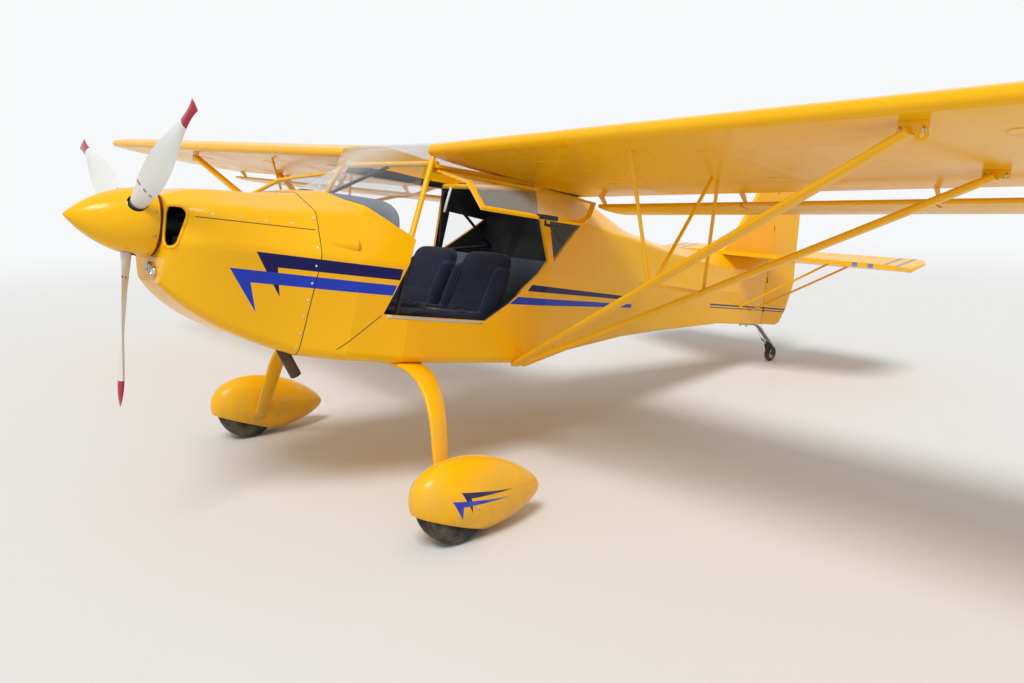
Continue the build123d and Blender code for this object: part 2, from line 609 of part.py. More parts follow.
front_y, front_z = on_strut(front_foot_y, front_top_y, front_top_drop, jury_x)
rear_y, rear_z = on_strut(rear_foot_y, rear_top_y, rear_top_drop, jury_x)
jury_side = 14
jury_lines = [((front_y - jury_side, front_z), (jury_front_y, wing_under(jury_x, jury_front_y))),
              ((front_y + jury_side, front_z), (jury_rear_y - jury_side, wing_under(jury_x, jury_rear_y))),
              ((rear_y + jury_side / 2, rear_z), (jury_rear_y + jury_side, wing_under(jury_x, jury_rear_y))),
              ((front_y, front_z), (rear_y, rear_z))]
jury = []
for start, end in jury_lines:
    bar = rod((jury_x, *start), (jury_x, *end), jury_radius) - wing
    for strut in struts:
        bar -= strut
    jury.append(bar.solids().sort_by(SortBy.VOLUME)[-1])
keep_both("jury_struts", *jury)

# Undercarriage
leg_place = Plane(origin=(leg_root_x, (leg_top_front + leg_foot_half + wheel_y) / 2, belly_z - leg_thick / 2), x_dir=(0, 1, 0),
                  z_dir=(1, 0, 0))
leg_line = Pos(0, leg_place.origin.Y, 0) * (Plane.XZ * leg_path)
leg = sweep(leg_place * Rectangle(leg_width, leg_thick), leg_line)
leg_low = wheel_z - leg_foot_below
leg &= side_prism([(leg_top_front, belly_z + 50), (leg_top_rear, belly_z + 50), (leg_top_rear, belly_z - leg_thick),
                   (wheel_y + leg_foot_half, wheel_z + 60), (wheel_y + leg_foot_half, leg_low), (wheel_y - leg_foot_half, leg_low),
                   (wheel_y - leg_foot_half, wheel_z + 60), (leg_top_front, belly_z - leg_thick)], 0, 1200)
pair("gear_leg", leg)
wheel_x = track / 2
leg_face = leg_x + leg_thick / 2
hub_end = wheel_x + hub_width / 2
axle = rod((leg_face, wheel_y, wheel_z), (leg_face + 6, wheel_y, wheel_z), leg_foot_half)
axle += rod((leg_face, wheel_y, wheel_z), (hub_end + pin_gap + 8, wheel_y, wheel_z), axle_radius)
axle += rod((hub_end + pin_gap, wheel_y, wheel_z), (hub_end + pin_gap + 8, wheel_y, wheel_z), axle_cap)
keep_both("axles", axle)
bore = axle_radius + running_fit
half_rim, half_hub = rim_width / 2, hub_width / 2
rim_outline = [(-disc_in, bore), (half_hub, bore), (half_hub, hub_wheel_radius), (8, 34), (8, rim_seat - rim_wall),
               (half_rim, rim_seat - rim_wall), (half_rim, rim_flange), (half_rim - 5, rim_flange), (half_rim - 5, rim_seat),
               (5 - half_rim, rim_seat), (5 - half_rim, rim_flange), (-half_rim, rim_flange), (-half_rim, rim_seat - rim_wall),
               (-8, rim_seat - rim_wall), (-8, 34), (-half_hub, hub_wheel_radius), (disc_thick - disc_in, hub_wheel_radius),
               (disc_thick - disc_in, disc_radius), (-disc_in, disc_radius)]
tread = tyre_width / 2 - 22
tyre_face = Face(Wire([
    Line((5 - half_rim, rim_seat), (half_rim - 5, rim_seat)), Line((half_rim - 5, rim_seat), (half_rim - 5, rim_flange)),
    ThreePointArc((half_rim - 5, rim_flange), (tyre_width / 2, tyre_bulge), (tread, tyre_radius - 9)),
    ThreePointArc((tread, tyre_radius - 9), (0, tyre_radius), (-tread, tyre_radius - 9)),
    ThreePointArc((-tread, tyre_radius - 9), (-tyre_width / 2, tyre_bulge), (5 - half_rim, rim_flange)),
    Line((5 - half_rim, rim_flange), (5 - half_rim, rim_seat))]))
at_wheel = Pos(wheel_x, wheel_y, wheel_z)
pair("rim", at_wheel * turned(rim_outline))
pair("tyre", at_wheel * revolve(tyre_face, Axis.X))


def teardrop(inset, end):
    """Wheel fairing's form, drawn inwards: a half ellipse, an arc and a cone turned about Y, then made deeper."""
    wide = pant_width / 2 - inset
    arc = pant_tail_arc - inset
    out, back = pant_tail_half - pant_width / 2 + pant_tail_arc, pant_length - pant_widest
    turn = atan2(back, out) - acos(pant_tail_arc / hypot(out, back))
    leave = Vector(wide - arc + arc * cos(turn), pant_widest + arc * sin(turn))
    stop = Vector(leave.X - tan(turn) * (end - leave.Y), end)
    nose = EllipticalCenterArc((0, pant_widest), wide, pant_widest - inset, start_angle=-90, arc_size=90)
    edges = [nose.edge(), arc_about((wide - arc, pant_widest), (wide, pant_widest), leave), Line(leave, stop),
             Line(stop, (0, end)), Line((0, end), (0, inset))]
    turned_form = revolve(Face(Wire(edges)), Axis.Y)
    return Pos(wheel_x, pant_nose_y, pant_z) * scale(turned_form, by=(1, 1, (pant_height / 2 - inset) / wide))


pant = teardrop(0, pant_length) - teardrop(pant_skin, pant_hollow)
pant -= block(wheel_x - pant_mouth_half_x, wheel_x + pant_mouth_half_x, wheel_y - pant_mouth_half_y, wheel_y + pant_mouth_half_y,
              pant_mouth_z - 200, pant_mouth_z)
pair("wheel_pant", pant - leg)

# Tail
stab_rear = elevator_axis_y - elevator_nose - moving_gap
stab_points = [(0, stab_root_y), (stab_front_x, stab_tip_y), (stab_half, stab_corner_y), (stab_half, stab_rear), (0, stab_rear)]
stab = extrude(Plane.XY.offset(stab_z - stab_thick / 2) * make_face(Polyline(*stab_points, close=True)), stab_thick,
               dir=(0, 0, 1))
hinge_arm = 50


def tapered(nose, chord, tail):
    """Section of a moving surface about its hinge line: a nose circle tapering to its tail."""
    return Face(Wire([ThreePointArc((0, nose), (-nose, 0), (0, -nose)), Line((0, -nose), (chord, -tail / 2)),
                      Line((chord, -tail / 2), (chord, tail / 2)), Line((chord, tail / 2), (0, nose))]))


elevator_form = extrude(Plane(origin=(-stab_half, elevator_axis_y, stab_z), x_dir=(0, 1, 0), z_dir=(1, 0, 0)) * tapered(
    elevator_nose, elevator_chord, elevator_tail_thick), 2 * stab_half, dir=(1, 0, 0))
tail_y = elevator_axis_y + elevator_chord + 1
elevator_plan = [(elevator_in_front, elevator_axis_y - 30), (stab_half, elevator_axis_y - 30), (stab_half, tail_y - 130),
                 (stab_half - 45, tail_y - 40), (stab_half - 130, tail_y), (elevator_in_rear, tail_y),
                 (elevator_in_front, elevator_axis_y + 20)]
plan = extrude(make_face(Polyline(*elevator_plan, close=True)), 900, dir=(0, 0, 1))
elevator = (elevator_form & plan) + (elevator_form & mirror(plan, about=Plane.YZ))
for x in elevator_hinge_xs:
    for side in (-1, 1):
        place = Plane(origin=(side * x, elevator_axis_y, stab_z), x_dir=(0, 1, 0), z_dir=(1, 0, 0)).location
        fork, eye, notch = hinge(place, 40, hinge_arm)
        elevator = elevator - notch + eye
        if side > 0:
            stab += fork
elevator += rod((-elevator_in_front - 10, elevator_axis_y, stab_z), (elevator_in_front + 10, elevator_axis_y, stab_z), torque_tube)
raise_elevator = Pos(0, elevator_axis_y, stab_z) * Rot(elevator_raised, 0, 0) * Pos(0, -elevator_axis_y, -stab_z)
keep("elevator", raise_elevator * elevator)
stab_strut_bars = []
for foot, top in stab_struts:
    bar = rod(foot, top, stab_strut_radius) - hull - stab
    stab_strut_bars.append(bar.solids().sort_by(SortBy.VOLUME)[-1])
pair("stabilizer", stab)
keep_both("stabilizer_struts", *stab_strut_bars)

fin = side_prism(fin_outline, -fin_thick / 2, fin_thick / 2) - hull - stab - mirror(stab, about=Plane.YZ)
fin -= block(-50, 50, elevator_axis_y - 15, 5300, stab_z - 15, stab_z + 15)
rudder_form = extrude(Plane(origin=(0, rudder_axis_y, -400), x_dir=(0, 1, 0), z_dir=(0, 0, 1)) * tapered(
    rudder_nose, rudder_chord, rudder_tail_thick), 1400, dir=(0, 0, 1))
rudder = rudder_form & side_prism(rudder_outline, -50, 50)
for z in rudder_hinge_zs:
    place = Plane(origin=(0, rudder_axis_y, z), x_dir=(0, 1, 0), z_dir=(0, 0, 1)).location
    fork, eye, notch = hinge(place, 40, hinge_arm)
    rudder = rudder - notch + eye
    if z < stab_z:
        rear_hull += fork
    else:
        fin += fork
keep("rudder", rudder)
keep("fin", fin.solids().sort_by(SortBy.VOLUME)[-1])
keep("rear_fuselage", rear_hull)

# Tailwheel on its leaf spring
up = Vector(0, -sin(stand_angle), cos(stand_angle))
head = Vector(0, fork_y, fork_z)
boss_at = head + up * (fork_head_height / 2 + pin_gap)
spring_z = hull_sections[-1][4][1] - spring_thick / 2
corner_y = spring_end_y - (spring_z - spring_end_z) / tan(radians(spring_slope))
spring_path = Plane.YZ * FilletPolyline((spring_front_y, spring_z), (corner_y, spring_z), (spring_end_y, spring_end_z), radius=spring_bend)
spring = sweep(Plane(origin=(0, spring_front_y, spring_z), x_dir=(1, 0, 0), z_dir=(0, 1, 0)) * Rectangle(spring_width, spring_thick),
               spring_path)
spring += rod(boss_at, boss_at + up * boss_height, boss_radius)
pin_low = head - up * (fork_head_height / 2)
spring = spring + rod(pin_low, boss_at, fork_pin)
keep("tail_spring", spring - hull)
axle_at = Vector(0, tailwheel_y, tailwheel_z)
reach = head - axle_at
fork_place = Plane(origin=axle_at, x_dir=reach, z_dir=(1, 0, 0))
blade_x = tailwheel_width / 2 + moving_gap
fork = rod(head - up * fork_head_height / 2, head + up * fork_head_height / 2, fork_head_radius)
crown_in = tailwheel_radius + moving_gap + 2
for side in (-1, 1):
    blade = block(0, crown_in + 16, -fork_blade_width / 2, fork_blade_width / 2, min(side * blade_x, side * (blade_x + fork_blade)),
                  max(side * blade_x, side * (blade_x + fork_blade)))
    end = Pos(0, 0, side * (blade_x + fork_blade / 2)) * Cylinder(fork_blade_width / 2, fork_blade)
    fork += fork_place.location * (blade + end)
fork += fork_place.location * block(crown_in, crown_in + 18, -fork_blade_width / 2, fork_blade_width / 2, -blade_x - fork_blade,
                                    blade_x + fork_blade)
fork -= rod(head - up * 60, head + up * 60, fork_pin + running_fit)
fork += rod((-blade_x - 1, tailwheel_y, tailwheel_z), (blade_x + 1, tailwheel_y, tailwheel_z), fork_axle)
keep("tailwheel_fork", fork)
half_tail = tailwheel_width / 2
at_tail = Pos(0, tailwheel_y, tailwheel_z)
keep("tailwheel_rim", at_tail * turned([(-half_tail - 2, fork_axle + running_fit), (half_tail + 2, fork_axle + running_fit),
                                        (half_tail + 2, 12), (6, 14), (6, tailwheel_rim - 4), (half_tail - 6, tailwheel_rim - 4),
                                        (half_tail - 6, tailwheel_rim), (6 - half_tail, tailwheel_rim),
                                        (6 - half_tail, tailwheel_rim - 4), (-6, tailwheel_rim - 4), (-6, 14), (-half_tail - 2, 12)]))
small_face = Face(Wire([Line((6 - half_tail, tailwheel_rim), (half_tail - 6, tailwheel_rim)),
                        ThreePointArc((half_tail - 6, tailwheel_rim), (half_tail, 52), (half_tail - 8, tailwheel_radius - 4)),
                        ThreePointArc((half_tail - 8, tailwheel_radius - 4), (0, tailwheel_radius), (8 - half_tail, tailwheel_radius - 4)),
                        ThreePointArc((8 - half_tail, tailwheel_radius - 4), (-half_tail, 52), (6 - half_tail, tailwheel_rim))]))
keep("tailwheel_tyre", at_tail * revolve(small_face, Axis.X))

for name, solids in made.items():
    export_step(ground * (solids[0] if len(solids) == 1 else Compound(children=solids)), f"parts/{name}.step")
    if len(solids) != 1:
        print(name, "solids", len(solids))
whole = Compound([solid for solids in made.values() for solid in solids])
box = (ground * whole).bounding_box()
print("nodes", len(made), "box", box.min, box.max)
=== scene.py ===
import json
import math
import bmesh
import bpy
import numpy as np
from mathutils import Matrix, Vector
from mathutils.bvhtree import BVHTree


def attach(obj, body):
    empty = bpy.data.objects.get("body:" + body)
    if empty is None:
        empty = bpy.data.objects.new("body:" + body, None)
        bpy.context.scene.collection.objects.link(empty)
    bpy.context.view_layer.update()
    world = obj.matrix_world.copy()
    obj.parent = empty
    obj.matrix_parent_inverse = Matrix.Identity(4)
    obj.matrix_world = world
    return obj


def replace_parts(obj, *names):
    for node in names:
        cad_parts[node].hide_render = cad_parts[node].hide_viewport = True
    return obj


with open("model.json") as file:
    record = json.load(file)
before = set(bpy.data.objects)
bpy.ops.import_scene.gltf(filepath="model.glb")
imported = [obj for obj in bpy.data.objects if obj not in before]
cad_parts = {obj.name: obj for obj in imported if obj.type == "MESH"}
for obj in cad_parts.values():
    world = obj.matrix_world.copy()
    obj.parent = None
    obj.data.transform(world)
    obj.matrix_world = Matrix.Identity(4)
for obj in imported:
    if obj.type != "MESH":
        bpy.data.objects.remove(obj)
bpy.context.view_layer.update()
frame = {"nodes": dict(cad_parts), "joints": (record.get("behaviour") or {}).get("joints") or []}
nodes = frame["nodes"]
joints = {joint["name"]: joint for joint in frame["joints"]}
scene = bpy.context.scene
print("stage: frame loaded,", len(nodes), "nodes")

# The aircraft is drawn level and stands tail down. Its level frame has x to its left, y aft from the
# spinner's tip and z up from the thrust line, in metres. The propeller's joint tells where that is.
thrust = joints["propeller_spin"]
leanBack = math.atan2(-thrust["axis"][2], thrust["axis"][1])
discPlace = (0, 0.258, 0)             # centre of the propeller's disc in the level frame
toRow = Matrix.Rotation(-leanBack, 4, "X")
toRow.translation = Vector(thrust["pos_m"]) - toRow.to_3x3() @ Vector(discPlace)
toLevel = toRow.inverted()


def rowPoints(points):
    # level points to the row frame, as an array with one row a point
    turn, move = np.array(toRow.to_3x3()), np.array(toRow.translation)
    return np.asarray(points, float) @ turn.T + move


def levelPoints(points):
    # and row points back to the level frame
    turn, move = np.array(toLevel.to_3x3()), np.array(toLevel.translation)
    return np.asarray(points, float) @ turn.T + move


# Camera: where the photograph was taken from, as a place, three turns and a focal length
photoCamera = {"place": (3.895, -3.818, 1.620), "yaw": 48.671, "pitch": -11.461, "roll": -0.477,
               "focalPixels": 863.931, "imageWidth": 1024, "sensorWidth": 36}


def makeCamera(view):
    yaw, pitch, roll = (math.radians(view[turn]) for turn in ("yaw", "pitch", "roll"))
    forward = Vector((-math.sin(yaw) * math.cos(pitch), math.cos(yaw) * math.cos(pitch), math.sin(pitch)))
    right = forward.cross(Vector((0, 0, 1))).normalized()
    up = right.cross(forward)
    across = right * math.cos(roll) + up * math.sin(roll)
    upright = up * math.cos(roll) - right * math.sin(roll)
    data = bpy.data.cameras.new("photoCamera")
    data.sensor_width = view["sensorWidth"]
    data.lens = view["focalPixels"] * view["sensorWidth"] / view["imageWidth"]
    data.clip_end = 200
    camera = bpy.data.objects.new("photoCamera", data)
    turn = Matrix((across, upright, -forward)).transposed().to_4x4()
    turn.translation = view["place"]
    camera.matrix_world = turn
    scene.collection.objects.link(camera)
    scene.camera = camera


makeCamera(photoCamera)


# Short ways to build node trees
def feed(tree, socket, value):
    # links a socket to this one, or writes a constant into it, a colour's alpha added where it is missing
    if isinstance(value, bpy.types.NodeSocket):
        tree.links.new(value, socket)
    else:
        socket.default_value = (*value, 1) if socket.type == "RGBA" and len(value) == 3 else value


def addNode(tree, kind, settings=None, **inputs):
    # one node: settings are its own properties, inputs are constants or sockets to link
    node = tree.nodes.new("ShaderNode" + kind)
    for key, value in (settings or {}).items():
        setattr(node, key, value)
    for key, value in inputs.items():
        numbered = key[:2] == "in" and key[2:].isdigit()
        feed(tree, node.inputs[int(key[2:]) if numbered else key.replace("_", " ")], value)
    return node


def treeOf(*values):
    # the tree of the first socket among the values, so that sums on sockets needn't name it
    return next(value for value in values if isinstance(value, bpy.types.NodeSocket)).id_data


def sums(operation, *values, clamp=False):
    # one Math node and its output
    inputs = {f"in{number}": value for number, value in enumerate(values)}
    return addNode(treeOf(*values), "Math", {"operation": operation, "use_clamp": clamp}, **inputs).outputs[0]


def vectorSums(operation, *values, output=0):
    inputs = {f"in{number}": value for number, value in enumerate(values)}
    return addNode(treeOf(*values), "VectorMath", {"operation": operation}, **inputs).outputs[output]


def ramp(value, low, high, outLow=0.0, outHigh=1.0, smooth=False):
    settings = {"interpolation_type": "SMOOTHSTEP"} if smooth else {}
    limits = {"in1": low, "in2": high, "in3": outLow, "in4": outHigh}
    return addNode(treeOf(value), "MapRange", settings, in0=value, **limits).outputs[0]


def mixColors(mask, first, second):
    tree = treeOf(mask)
    node = tree.nodes.new("ShaderNodeMix")
    node.data_type = "RGBA"
    for number, value in ((0, mask), (6, first), (7, second)):
        feed(tree, node.inputs[number], value)
    return node.outputs[2]


def between(value, low, high, edge=0.0005):
    # 1 from low to high, 0 elsewhere, with edges a millimetre soft
    return sums("MULTIPLY", ramp(value, low - edge, low + edge), ramp(value, high + edge, high - edge))


def emptyTree(owner):
    owner.use_nodes = True
    owner.node_tree.nodes.clear()
    return owner.node_tree


def endTree(tree, kind, result):
    # the last node of a material's or a world's tree
    feed(tree, tree.nodes.new("ShaderNodeOutput" + kind).inputs["Surface"], result)


def objectPlace(tree):
    return tree.nodes.new("ShaderNodeTexCoord").outputs["Object"]


def splitUp(vector):
    return addNode(treeOf(vector), "SeparateXYZ", {}, in0=vector).outputs


def noise(place, scale, detail, roughness=0.5):
    values = {"Vector": place, "Scale": scale, "Detail": detail, "Roughness": roughness}
    return addNode(treeOf(place), "TexNoise", {}, **values).outputs[0]


def sendOut(end, **outputs):
    # a group's results, by the names of its outputs
    for name, socket in outputs.items():
        socket.id_data.links.new(socket, end.inputs[name])


def newGroup(name, inputs, outputs):
    # a shader node group with named sockets, each row a name, a kind and a starting value
    tree = bpy.data.node_groups.new(name, "ShaderNodeTree")
    kinds = {"value": "NodeSocketFloat", "vector": "NodeSocketVector", "color": "NodeSocketColor"}
    for socketName, kind, start in inputs:
        socket = tree.interface.new_socket(socketName, in_out="INPUT", socket_type=kinds[kind])
        socket.default_value = start
    for socketName, kind in outputs:
        tree.interface.new_socket(socketName, in_out="OUTPUT", socket_type=kinds[kind])
    return tree, tree.nodes.new("NodeGroupInput"), tree.nodes.new("NodeGroupOutput")


def useGroup(tree, name, **inputs):
    node = tree.nodes.new("ShaderNodeGroup")
    node.node_tree = bpy.data.node_groups[name]
    for key, value in inputs.items():
        feed(tree, node.inputs[key], value)
    return node


def buildLevelCoords():
    # object coordinates turned into the aircraft's level frame
    tree, _, end = newGroup("levelCoords", [], [("Level", "vector")])
    move, turn = toLevel.translation, toLevel.to_euler()
    sendOut(end, Level=addNode(tree, "Mapping", {}, Vector=objectPlace(tree), Location=move, Rotation=turn).outputs[0])


# Stripes of the fuselage's side, each a chain of convex pieces, corners as (y, z) in the level frame
sideStripes = {
    "navy": [[(0.670, -0.072), (1.331, -0.090), (1.323, -0.141), (0.771, -0.132)],
             [(0.670, -0.072), (0.771, -0.132), (0.806, -0.260)],
             [(2.161, -0.112), (3.082, -0.141), (3.082, -0.162), (2.137, -0.146)],
             [(4.308, -0.158), (5.62, -0.163), (5.62, -0.173), (4.308, -0.168)],
             [(4.308, -0.180), (5.62, -0.185), (5.62, -0.191), (4.308, -0.186)]],
    "blue": [[(0.581, -0.152), (1.313, -0.168), (1.298, -0.216), (0.675, -0.208)],
             [(0.581, -0.152), (0.675, -0.208), (0.724, -0.338)],
             [(2.076, -0.181), (3.209, -0.191), (3.209, -0.212), (2.023, -0.221)]],
}
pantStripes = {
    "navy": [[(1.315, -0.991), (1.608, -1.001), (1.364, -1.017)], [(1.315, -0.991), (1.364, -1.017), (1.381, -1.083)]],
    "blue": [[(1.274, -1.028), (1.578, -1.033), (1.328, -1.054)], [(1.274, -1.028), (1.328, -1.054), (1.338, -1.113)]],
}
stripeEdge = (-0.0010, -0.0002)       # a little outside the corners, so that neighbouring pieces join


def insideOf(across, along, corners):
    # signed distance inside a convex outline, which is the least distance to its sides' lines
    sides = list(zip(corners, corners[1:] + corners[:1]))
    turn = 1 if sum(a[0] * b[1] - b[0] * a[1] for a, b in sides) > 0 else -1
    least = None
    for start, end in sides:
        length = math.hypot(end[0] - start[0], end[1] - start[1])
        normal = (turn * (start[1] - end[1]) / length, turn * (end[0] - start[0]) / length)
        offset = normal[0] * start[0] + normal[1] * start[1]
        side = sums("MULTIPLY_ADD", across, normal[0], sums("MULTIPLY_ADD", along, normal[1], -offset))
        least = side if least is None else sums("MINIMUM", least, side)
    return least


def buildStripes(name, shapes):
    # masks of the coloured stripes, one output a colour
    _, start, end = newGroup(name, [("Level", "vector", (0, 0, 0))], [(color, "value") for color in shapes])
    _, across, along = splitUp(start.outputs["Level"])
    for color, outlines in shapes.items():
        best = None
        for corners in outlines:
            inside = insideOf(across, along, corners)
            best = inside if best is None else sums("MAXIMUM", best, inside)
        sendOut(end, **{color: ramp(best, *stripeEdge)})


def buildPaintFilm():
    # orange peel of sprayed paint and the slow unevenness of its gloss
    _, start, end = newGroup("paintFilm", [("Vector", "vector", (0, 0, 0)), ("Grain", "value", 160.0)],
                             [("Height", "value"), ("Gloss", "value"), ("Tone", "value")])
    place = start.outputs["Vector"]
    sendOut(end, Height=noise(place, start.outputs["Grain"], 2.0), Tone=noise(place, 0.9, 1.0),
            Gloss=ramp(noise(place, 2.2, 3.0), 0.3, 0.7))


def buildDust():
    # dust that settles low down, in soft patches
    tree, start, end = newGroup("roadDust", [("Low", "value", 0.0), ("High", "value", 0.6), ("Amount", "value", 0.4)],
                                [("Mask", "value")])
    place = objectPlace(tree)
    low = ramp(splitUp(place)[2], start.outputs["Low"], start.outputs["High"], 1.0, 0.0)
    spots = ramp(noise(place, 9.0, 6.0, 0.65), 0.38, 0.68)
    mask = sums("MULTIPLY", sums("MULTIPLY", low, spots), start.outputs["Amount"], clamp=True)
    sendOut(end, Mask=mask)


def buildTapes():
    # cloth drawn over ribs: a raised tape along each rib and a slight sag between them; the tape's mask also goes out
    # to darken the paint along the ribs as painted shade
    inputs = [("Along", "value", 0.0), ("Pitch", "value", 0.3), ("Width", "value", 0.026)]
    _, start, end = newGroup("ribTapes", inputs, [("Tape", "value"), ("Height", "value")])
    turns = sums("DIVIDE", start.outputs["Along"], start.outputs["Pitch"])
    away = sums("ABSOLUTE", sums("SUBTRACT", sums("FRACT", turns), 0.5))
    fromRib = sums("MULTIPLY", away, start.outputs["Pitch"])
    half = sums("MULTIPLY", start.outputs["Width"], 0.5)
    tape = ramp(sums("SUBTRACT", half, fromRib), -0.0006, 0.0006)
    sag = sums("POWER", sums("SUBTRACT", 1.0, sums("MULTIPLY", away, 2.0)), 3.0)
    sendOut(end, Tape=tape, Height=sums("MULTIPLY_ADD", sag, 1.6, sums("MULTIPLY", tape, 0.22)))


def buildWeave():
    # plain weave: two crossed sets of threads, each over and under the other
    tree, start, end = newGroup("clothWeave", [("Vector", "vector", (0, 0, 0)), ("Threads", "value", 900.0)],
                                [("Height", "value"), ("Shade", "value")])
    place, threads = start.outputs["Vector"], start.outputs["Threads"]
    x, y, z = splitUp(addNode(tree, "VectorMath", {"operation": "SCALE"}, in0=place, Scale=threads).outputs[0])
    warp = sums("SINE", sums("ADD", x, z))
    weft = sums("SINE", sums("SUBTRACT", y, z))
    both = sums("MULTIPLY", warp, weft)
    sendOut(end, Height=both, Shade=sums("MULTIPLY_ADD", both, 0.12, noise(place, 14.0, 5.0)))


def buildGrain():
    # grain of cast metal, moulded plastic or rubber
    tree, start, end = newGroup("surfaceGrain", [("Vector", "vector", (0, 0, 0)), ("Scale", "value", 300.0)],
                                [("Height", "value"), ("Shade", "value")])
    place = start.outputs["Vector"]
    cells = addNode(tree, "TexVoronoi", {"feature": "SMOOTH_F1"}, Vector=place, Scale=start.outputs["Scale"])
    sendOut(end, Height=cells.outputs["Distance"], Shade=noise(place, 6.0, 4.0))


def buildWear():
    # bare edges: where a rounded copy of the normal leaves the face's own normal
    tree, start, end = newGroup("edgeWear", [("Radius", "value", 0.003), ("Amount", "value", 0.6)], [("Mask", "value")])
    rounded = addNode(tree, "Bevel", {"samples": 4}, Radius=start.outputs["Radius"]).outputs[0]
    plain = tree.nodes.new("ShaderNodeNewGeometry").outputs["Normal"]
    edge = ramp(vectorSums("DOT_PRODUCT", rounded, plain, output=1), 0.985, 0.86)
    chips = ramp(noise(objectPlace(tree), 55.0, 5.0), 0.42, 0.62)
    mask = sums("MULTIPLY", edge, chips)
    sendOut(end, Mask=sums("MULTIPLY", mask, start.outputs["Amount"], clamp=True))


buildLevelCoords()
buildStripes("sideStripes", sideStripes)
buildStripes("pantStripes", pantStripes)
buildPaintFilm()
buildDust()
buildTapes()
buildWeave()
buildGrain()
buildWear()
print("stage: node groups built")

# Colours are linear; what a user would change about the paint is here
paint = {"yellow": (0.93, 0.485, 0.0015), "yellowDeep": (0.88, 0.435, 0.001), "navy": (0.002, 0.002, 0.085),
         "blue": (0.010, 0.040, 0.47), "bandGrey": (0.20, 0.23, 0.33), "dust": (0.33, 0.27, 0.19),
         "lining": (0.030, 0.032, 0.036), "roughness": 0.24, "coat": 0.10, "shine": 0.2}
bladeLook = {"white": (0.74, 0.74, 0.70), "whiteDeep": (0.64, 0.64, 0.61), "red": (0.36, 0.008, 0.02),
             "root": (0.06, 0.06, 0.065), "rootEnd": 0.120, "tipStart": 0.690, "dashes": (0.240, 0.251),
             "dashPitch": 330.0}
tyreLook = {"dark": (0.016, 0.016, 0.017), "light": (0.028, 0.027, 0.026), "shadedGroove": (0.006, 0.006, 0.006),
            "middle": 1.038, "groovePitch": 125.0, "treadHalf": 0.054}


def newMaterial(name):
    material = bpy.data.materials.new(name)
    tree = emptyTree(material)
    shader = tree.nodes.new("ShaderNodeBsdfPrincipled")
    endTree(tree, "Material", shader.outputs[0])
    return material, tree, shader


def put(tree, shader, **inputs):
    for key, value in inputs.items():
        feed(tree, shader.inputs[key.replace("_", " ")], value)


def bump(height, strength, distance, **under):
    # under may give the Normal that this bump lies on
    values = {"Strength": strength, "Distance": distance, "Height": height, **under}
    return addNode(treeOf(height), "Bump", {}, **values).outputs[0]


def outwardMask(level):
    # 1 where a face looks away from the fuselage's middle line, 0 where it looks inwards or ahead from the bulkhead
    away = vectorSums("MULTIPLY", vectorSums("ADD", level, (0, 0, 0.1)), (1, 0, 1))
    normal = treeOf(level).nodes.new("ShaderNodeNewGeometry").outputs["True Normal"]
    outward = ramp(vectorSums("DOT_PRODUCT", away, normal, output=1), -0.06, -0.03)
    bulkhead = ramp(splitUp(level)[1], 2.39, 2.40)
    ahead = ramp(splitUp(normal)[1], -0.85, -0.90)
    return sums("SUBTRACT", outward, sums("MULTIPLY", bulkhead, ahead), clamp=True)


def yellowPaint(name, stripes=None, tapes=None, dustHigh=0.0, lined=False, outerSide=False, bands=()):
    # glossy yellow over cloth, sheet metal or gel coat, with stripes, rib tapes darkened as painted shade of the ribs,
    # bands, dust and a dark lining inside
    material, tree, shader = newMaterial(name)
    level = useGroup(tree, "levelCoords").outputs[0]
    x, y, _ = splitUp(level)
    film = useGroup(tree, "paintFilm", Vector=level)
    color = mixColors(film.outputs["Tone"], paint["yellow"], paint["yellowDeep"])
    height = bump(film.outputs["Height"], 0.18, 0.00012)
    if tapes:
        ribs = useGroup(tree, "ribTapes", Along=sums("ADD", x, tapes["offset"]), Pitch=tapes["pitch"])
        height = bump(ribs.outputs["Height"], 0.5, tapes["relief"], Normal=height)
        # painted shade: the tapes are darkened a little, standing in for the ribs' shadows seen through the cloth
        color = mixColors(sums("MULTIPLY", ribs.outputs["Tape"], 0.3), color, paint["yellowDeep"])
    if stripes:
        side = 1.0
        if outerSide:
            normal = splitUp(tree.nodes.new("ShaderNodeNewGeometry").outputs["Normal"])
            side = ramp(sums("MULTIPLY", x, normal[0]), 0.05, 0.15)
        for stripe in useGroup(tree, stripes, Level=level).outputs:
            color = mixColors(sums("MULTIPLY", stripe, side), color, paint[stripe.name])
    for low, high in bands:
        color = mixColors(between(sums("ABSOLUTE", x), low, high), color, paint["bandGrey"])
    rough = ramp(film.outputs["Gloss"], 0.0, 1.0, paint["roughness"] - 0.05, paint["roughness"] + 0.07)
    if dustHigh:
        dust = useGroup(tree, "roadDust", High=dustHigh, Amount=0.5).outputs[0]
        color = mixColors(dust, color, paint["dust"])
        rough = sums("MULTIPLY_ADD", dust, 0.4, rough)
    if lined:
        inward = sums("SUBTRACT", 1.0, outwardMask(level))
        cabin = sums("MULTIPLY", inward, ramp(y, 0.30, 0.31))
        color = mixColors(cabin, color, paint["lining"])
        rough = sums("MULTIPLY_ADD", cabin, 0.5, rough, clamp=True)
    put(tree, shader, Base_Color=color, Roughness=rough, Normal=height, Coat_Weight=paint["coat"], Coat_Roughness=0.06,
        Specular_IOR_Level=paint["shine"])
    return material


def clearSheet(name, tint=(0.70, 0.76, 0.78), alpha=0.045):
    # clear polished acrylic: nearly open face on, a mirror at a glance, faint scratches
    material, tree, shader = newMaterial(name)
    facing = addNode(tree, "LayerWeight", {}, Blend=0.30).outputs["Facing"]
    film = ramp(noise(objectPlace(tree), 7.0, 8.0, 0.7), 0.55, 0.8, 0.0, 0.03)
    cover = sums("ADD", ramp(facing, 0.30, 1.0, alpha, 0.50), film, clamp=True)
    put(tree, shader, Base_Color=tint, Roughness=0.045, Alpha=cover, Specular_IOR_Level=0.5, IOR=1.49)
    return material


